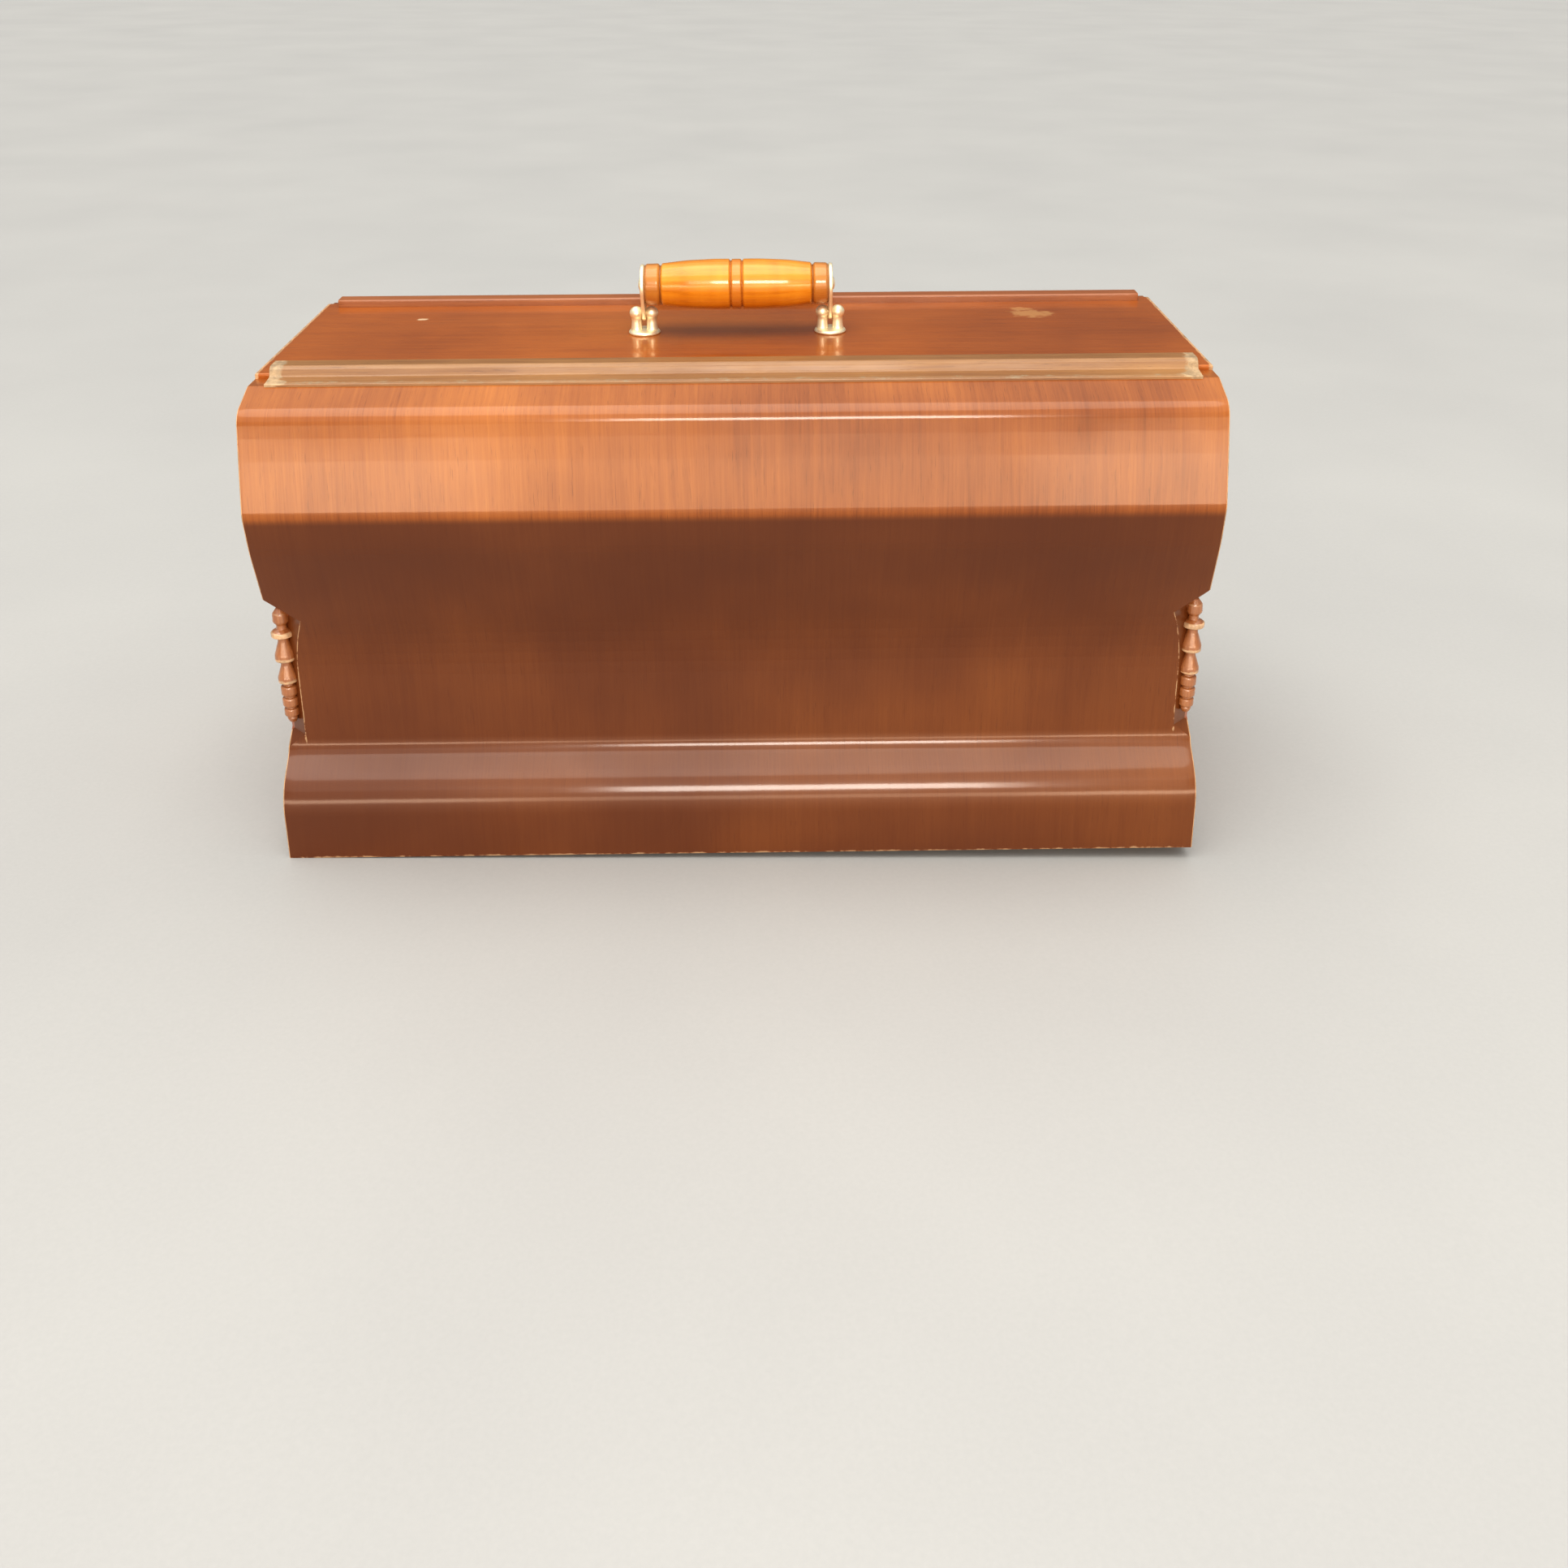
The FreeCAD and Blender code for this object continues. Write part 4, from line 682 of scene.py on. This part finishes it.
# ------------------------------------------------------------------ top board
TOPB = [(-83.0, 284.3, 1.3), (83.0, 284.3, 1.3), (83.0, 296.4, 1.3), (-83.0, 296.4, 1.3)]
bm = sweep_x("top", rounded(TOPB, 15.0), HALF_L, 1.2, lambda off, h: (off, RIM + h), 5)
top = new_object("top_board_polished", bm, smooth=30.0)
piece(top, M_TOP, "root", "top_wood", "top_board")

# ------------------------------------------------------------------ mouldings
Z_OUT = 293.3 - (293.3 - 284.5) / (37.5 - 12.6) * (37.5 - 36.2)
MOULD = [(36.2, Z_OUT, 0), (36.2, 294.7, 0.8), (37.9, 294.7, 0.6), (38.15, 294.05, 0), (38.7, 294.7, 0.3),
         (47.6, 295.65, 1.8), (49.1, 299.7, 1.6), (51.8, 301.2, 1.8), (63.1, 301.2, 1.2), (63.1, 296.4, 0),
         (52.0, 296.4, 0), (52.0, 293.3, 0), (37.5, 293.3, 0)]
for name, place, cad in (("front_moulding_strip", front_of, "front_top_moulding"), ("back_moulding_strip", back_of, "back_top_moulding")):
    bm = sweep_x(name, rounded(MOULD, 10.0), 268.1, 0.25, place, 2)
    o = new_object(name, bm, smooth=30.0)
    piece(o, M_MOULD if place is front_of else M_MOULD_BACK, "root", "moulding_wood", cad)


# -------------------------------------------------------------------- columns
COLUMN = [(0, 80.0, 0), (2.2, 80.0, 0.8), (3.3, 82.6, 0.8), (2.7, 84.0, 0.4), (4.5, 84.6, 0.9), (4.5, 89.0, 0.9),
          (3.2, 89.6, 0.3), (3.2, 90.6, 0.3), (4.9, 91.2, 1.2), (4.9, 96.2, 1.2), (3.3, 96.9, 0.3), (3.3, 97.9, 0.3),
          (5.0, 98.6, 1.4), (5.0, 104.2, 1.4), (3.2, 105.0, 0.4), (3.2, 106.6, 0.4), (5.9, 107.3, 1.0), (5.8, 110.6, 2.4),
          (3.2, 118.6, 3.0), (3.1, 121.0, 0.5), (6.2, 121.9, 1.0), (6.1, 125.6, 2.6), (3.4, 134.0, 3.0), (3.2, 136.2, 0.5),
          (5.2, 137.2, 0.4), (6.8, 138.2, 0.5), (6.8, 140.6, 0.5), (5.2, 141.8, 0.4), (3.2, 142.8, 0.4), (3.0, 145.2, 0.5),
          (4.9, 147.6, 2.2), (4.7, 152.8, 2.6), (2.0, 156.4, 1.0), (0, 156.4, 0)]
for sx, sy, nm in ((-1, -1, "front_left"), (1, -1, "front_right"), (-1, 1, "back_left"), (1, 1, "back_right")):
    prof = rounded(COLUMN, 14.0, closed=False)
    centre = ((HALF_L - 3.6) * sx, (HALF_D - NECK - 3.6) * sy, RIM)
    bm = lathe("col", prof, centre, "Z", 56)
    n = Vector((sx, sy, 0)).normalized()
    p = Vector(((HALF_L - NOTCH_LEG) * sx, (HALF_D - NECK) * sy, 0)) * MM
    for plane_co, plane_no in ((p, n), (p + Vector((0, 0, (RIM + NOTCH_HIGH) * MM)), (n - Vector((0, 0, 1))).normalized())):
        geom = bm.verts[:] + bm.edges[:] + bm.faces[:]
        cutres = bmesh.ops.bisect_plane(bm, geom=geom, plane_co=plane_co, plane_no=plane_no, clear_inner=True, dist=1e-7)
        edges = [e for e in cutres["geom_cut"] if isinstance(e, bmesh.types.BMEdge)]
        bmesh.ops.contextual_create(bm, geom=edges)
    o = new_object("column_turned_" + nm, bm, smooth=42)
    piece(o, M_COLUMN, "root", "column_wood", "column_" + nm)


# --------------------------------------------------------------------- handle
def grip_side(s):
    g, e = 57.0, 12.75
    return [(e - 1.2, g * s, 0.6), (e, (g - 1.4) * s, 1.4), (e + 0.25, (g - 8.6) * s, 1.6), (e - 1.35, (g - 9.9) * s, 0.4),
            (e + 0.3, (g - 11.2) * s, 0.6), (14.75, 31.0 * s, 60.0), (15.5, 14.0 * s, 60.0), (15.5, 4.6 * s, 0.6),
            (14.3, 3.5 * s, 0.3), (15.4, 2.5 * s, 0.6)]


prof = [(2.5, -57.0, 0)] + grip_side(-1) + list(reversed(grip_side(1))) + [(2.5, 57.0, 0)]
pts = [(r, s) for r, s in rounded(prof, 6.0, closed=False)]
dense = []
for a, b in zip(pts, pts[1:]):
    k = max(1, int(math.hypot(a[0] - b[0], a[1] - b[1]) / 2.0))
    dense += [(a[0] + (b[0] - a[0]) * j / k, a[1] + (b[1] - a[1]) * j / k) for j in range(k)]
dense.append(pts[-1])
bm = lathe("grip", dense, (0, 0, AXIS), "X", 72, crest_window=2.2)
# the bore for the rod closes the turning into a ring
first = [v for v in bm.verts if abs(v.co.x + 0.057) < 1e-6 and math.hypot(v.co.y, v.co.z - AXIS * MM) < 0.0026]
last = [v for v in bm.verts if abs(v.co.x - 0.057) < 1e-6 and math.hypot(v.co.y, v.co.z - AXIS * MM) < 0.0026]
key = lambda v: math.atan2(v.co.z - AXIS * MM, v.co.y)
first.sort(key=key)
last.sort(key=key)
for i in range(len(first)):
    j = (i + 1) % len(first)
    bm.faces.new((first[i], last[i], last[j], first[j]))
grip = new_object("grip_turned", bm, smooth=38)
piece(grip, M_GRIP, "handle", "grip_wood", "handle_grip")


def arm(name, s, cad):
    """Flat strap with a round eye and a small pivot eye, its edges eased."""
    a, b, l, th, w = 12.6, 4.6, 18.1, 2.4, 0.7
    ang = math.asin((a - b) / l)

    def outline(d):
        pts = []
        for i in range(49):
            t = -ang + (math.pi + 2 * ang) * i / 48
            pts.append(((a - d) * math.cos(t), l + (a - d) * math.sin(t)))
        for i in range(1, 24):
            t = math.pi + ang + (math.pi - 2 * ang) * i / 24
            pts.append(((b - d) * math.cos(t), (b - d) * math.sin(t)))
        return pts

    bm = bmesh.new()
    # from the inner face outwards
    sec = [(57.0 + w - w * math.sin(math.pi / 2 * (1 - j / 4)), w - w * math.cos(math.pi / 2 * (1 - j / 4))) for j in range(5)]
    sec += [(57.0 + th - w + w * math.sin(math.pi / 2 * j / 4), w - w * math.cos(math.pi / 2 * j / 4)) for j in range(5)]
    loops = [[bm.verts.new((x * s * MM, y * MM, (PIVOT + z) * MM)) for y, z in outline(d)] for x, d in sec]
    n = len(loops[0])
    for la, lb in zip(loops, loops[1:]):
        for i in range(n):
            bm.faces.new((la[i], la[(i + 1) % n], lb[(i + 1) % n], lb[i]))
    caps = []
    for x, loop in ((sec[0][0], loops[0]), (sec[-1][0], loops[-1])):
        hs = [[bm.verts.new((x * s * MM, r * math.cos(2 * math.pi * k / 24) * MM, (PIVOT + hz + r * math.sin(2 * math.pi * k / 24)) * MM))
               for k in range(24)] for hz, r in ((0.0, 1.56), (l, 2.5))]
        edges = [bm.edges.get((loop[i], loop[(i + 1) % n])) for i in range(n)]
        for h in hs:
            edges += [bm.edges.new((h[i], h[(i + 1) % 24])) for i in range(24)]
        bmesh.ops.triangle_fill(bm, edges=edges, use_beauty=True)
        caps.append(hs)
    for ha, hb in zip(*caps):
        for i in range(24):
            bm.faces.new((ha[i], ha[(i + 1) % 24], hb[(i + 1) % 24], hb[i]))
    o = new_object(name, bm, smooth=35.0)
    return piece(o, M_NICKEL, "handle", "handle_metal", cad)


arm("arm_strap_left", -1, "handle_arm_left")
arm("arm_strap_right", 1, "handle_arm_right")

def bracket(name, s, cad):
    """Dished round flange, two ball-headed cheeks with the arm's slot between them, and the stud."""
    cx = 58.2 * s
    base = TOP
    parts = bmesh.new()
    flange = [(0, -27.9, 0), (2.5, -27.9, 0.4), (2.5, 0.0, 0), (9.6, 0.0, 0.3), (10.0, 0.9, 0.5), (9.2, 2.1, 0.7), (6.6, 2.5, 2.0), (0, 3.1, 0)]
    temp = [lathe("f", rounded(flange, 15.0, closed=False), (cx, 0, base), "Z", 56)]
    zb = PIVOT - TOP
    for side in (-1, 1):
        cheek = [(0, 2.2, 0), (3.9, 2.2, 0.3), (3.5, 4.0, 1.0), (3.15, 7.6, 1.5)]
        a0 = -math.acos(3.15 / 4.25)
        ball = [(4.25 * math.cos(t), zb + 4.25 * math.sin(t)) for t in [a0 + (math.pi / 2 - a0) * i / 16 for i in range(17)]]
        prof = rounded(cheek, 15.0, closed=False) + ball[:-1] + [(0, zb + 4.25)]
        bm = lathe("c", prof, (cx + 4.7 * side, 0, base), "Z", 40)
        geom = bm.verts[:] + bm.edges[:] + bm.faces[:]
        cut = bmesh.ops.bisect_plane(bm, geom=geom, plane_co=Vector(((cx + 1.5 * side) * MM, 0, 0)), plane_no=Vector((-side, 0, 0)),
                                     clear_outer=True, dist=1e-7)
        edges = [e for e in cut["geom_cut"] if isinstance(e, bmesh.types.BMEdge)]
        bmesh.ops.contextual_create(bm, geom=edges)
        temp.append(bm)
    for bm in temp:
        me = bpy.data.meshes.new("t")
        bmesh.ops.recalc_face_normals(bm, faces=bm.faces)
        bm.to_mesh(me)
        bm.free()
        parts.from_mesh(me)
        bpy.data.meshes.remove(me)
    o = new_object(name, parts, smooth=38.0)
    return piece(o, M_NICKEL, "root", "handle_metal", cad)


bracket("bracket_cast_left", -1, "handle_bracket_left")
bracket("bracket_cast_right", 1, "handle_bracket_right")

# --------------------------------------------------------- carried-over CAD nodes
for n, m in (("left_end_board", M_END), ("right_end_board", M_END), ("front_base_rail", M_INNER), ("back_base_rail", M_INNER),
             ("glue_blocks", M_INNER), ("handle_batten", M_INNER), ("handle_rod", M_NICKEL), ("pivot_pins", M_NICKEL), ("bracket_washers", M_STEEL), ("bracket_nuts", M_STEEL),
             ("lock_case", M_LOCK), ("lock_cap", M_LOCK), ("lock_face_plate", M_LOCK), ("lock_bolt", M_LOCK), ("lock_spring", M_LOCK),
             ("lock_screws", M_SCREW), ("hook_screws", M_SCREW), ("key_escutcheon", M_LOCK), ("escutcheon_pins", M_LOCK),
             ("hook_front", M_HOOK), ("hook_back", M_HOOK)):
    assign(NODES[n], m)

# ---------------------------------------------------------------------- stage
# The cover stands on its left rim edge and on its hook tips, so the floor slopes.
TILT = math.atan2(RIM, HALF_L + 270.0)


def floor_material():
    g = Nodes("stage_floor")
    a = g.noise(g.scaled((3, 3, 3)), 1.0, 3.0, 0.5)
    b = g.noise(g.scaled((400, 400, 400)), 1.0, 3.0, 0.6)
    f = g.math("MULTIPLY_ADD", b, 0.25, g.math("MULTIPLY", a, 0.5))
    col = g.ramp(f, [(0.2, (0.40, 0.40, 0.395)), (0.6, (0.45, 0.45, 0.44))])
    return g.finish(col, 0.7, g.bump(b, 0.05, 0.0004))


bm = bmesh.new()
SIZE = 40.0
for v in ((-SIZE, -SIZE), (SIZE, -SIZE), (SIZE, SIZE), (-SIZE, SIZE)):
    x, y = v
    bm.verts.new((x, y, RIM * MM - (x + HALF_L * MM) * math.tan(TILT)))
bm.faces.new(bm.verts)
floor = new_object("stage_floor", bm, smooth=0)
assign(floor, floor_material())

world = bpy.data.worlds.new("studio")
bpy.context.scene.world = world
world.use_nodes = True
wt = world.node_tree
wb = wt.nodes["Background"]
wc = wt.nodes.new("ShaderNodeTexCoord")
ws = wt.nodes.new("ShaderNodeSeparateXYZ")
wt.links.new(wc.outputs["Generated"], ws.inputs[0])
wr = wt.nodes.new("ShaderNodeValToRGB")
wt.links.new(ws.outputs["Z"], wr.inputs["Fac"])
e = wr.color_ramp.elements
e[0].position, e[0].color = 0.0, (0.085, 0.085, 0.088, 1.0)
e[1].position, e[1].color = 0.9, (0.36, 0.36, 0.36, 1.0)
# the wall behind the cover is darker than the other three
wy = wt.nodes.new("ShaderNodeMapRange")
wy.interpolation_type = "SMOOTHSTEP"
wt.links.new(ws.outputs["Y"], wy.inputs["Value"])
wy.inputs["From Min"].default_value, wy.inputs["From Max"].default_value = 0.15, 0.75
wy.inputs["To Min"].default_value, wy.inputs["To Max"].default_value = 1.0, 0.0
wm = wt.nodes.new("ShaderNodeMix")
wm.data_type = "RGBA"
wt.links.new(wy.outputs["Result"], wm.inputs[0])
wt.links.new(wr.outputs["Color"], wm.inputs[6])
wm.inputs[7].default_value = (0.36, 0.36, 0.355, 1.0)
wt.links.new(wm.outputs[2], wb.inputs["Color"])
wb.inputs["Strength"].default_value = 1.0


def area(name, loc, target, size, size_y, power, color=(1, 1, 1)):
    d = bpy.data.lights.new(name, "AREA")
    d.shape, d.size, d.size_y, d.energy, d.color = "RECTANGLE", size, size_y, power, color
    o = bpy.data.objects.new(name, d)
    bpy.context.scene.collection.objects.link(o)
    o.location = loc
    o.rotation_euler = (Vector(target) - Vector(loc)).to_track_quat("-Z", "Y").to_euler()
    return o


# two soft overhead sources, one inside the other, so that their edge is gradual in the gloss
for name, energy, width in (("overhead_inner", 1.35, 56), ("overhead_outer", 1.25, 105)):
    sun = bpy.data.lights.new(name, "SUN")
    sun.energy, sun.angle, sun.color = energy, math.radians(width), (1.0, 0.97, 0.92)
    sun_o = bpy.data.objects.new(name, sun)
    bpy.context.scene.collection.objects.link(sun_o)
    sun_o.rotation_euler = (Vector((0, 0, 0)) - Vector((-0.10, -0.14, 1.0))).to_track_quat("-Z", "Y").to_euler()

area("ceiling", (0.12, -2.9, 1.42), (0.0, -0.13, 0.29), 0.95, 0.62, 30.0, (1.0, 0.95, 0.88))
area("room", (0.0, -8.0, 0.70), (0.0, -0.13, 0.26), 9.4, 1.15, 117.0, (1.0, 0.80, 0.62))
area("room_left", (-3.1, -7.9, 0.70), (-0.2, -0.13, 0.26), 3.2, 1.15, 34.0, (1.0, 0.80, 0.62))
area("room_right", (2.95, -7.9, 0.70), (0.2, -0.13, 0.26), 2.95, 1.15, 34.0, (1.0, 0.80, 0.62))

# --------------------------------------------------------------------- camera
cam_data = bpy.data.cameras.new("view")
cam = bpy.data.objects.new("view", cam_data)
bpy.context.scene.collection.objects.link(cam)
bpy.context.scene.camera = cam
F_PX, SHIFT = 1957.0, -0.2
cam_data.sensor_fit = "HORIZONTAL"
cam_data.sensor_width = 36.0
cam_data.lens = F_PX / 1932.0 * 36.0
cam_data.shift_y = SHIFT
cam_data.clip_start, cam_data.clip_end = 0.05, 120.0
pitch, roll, yaw = math.radians(20.06), math.radians(-0.36), math.radians(0.57)
# world to camera: yaw about Z, pitch down, then roll about the view axis
rz = Matrix.Rotation(yaw, 3, "Z")
r0 = Matrix(((1, 0, 0), (0, -math.sin(pitch), -math.cos(pitch)), (0, math.cos(pitch), -math.sin(pitch))))
rr = Matrix.Rotation(roll, 3, "Z")
r = rr @ r0 @ rz
right, down, fwd = Vector(r[0]), Vector(r[1]), Vector(r[2])
m = Matrix((right, -down, -fwd)).transposed().to_4x4()
m.translation = Vector((19.1, -968.0, 564.9)) * MM
cam.matrix_world = m

bpy.context.scene.view_settings.view_transform = "Standard"
bpy.context.scene.view_settings.look = "High Contrast"
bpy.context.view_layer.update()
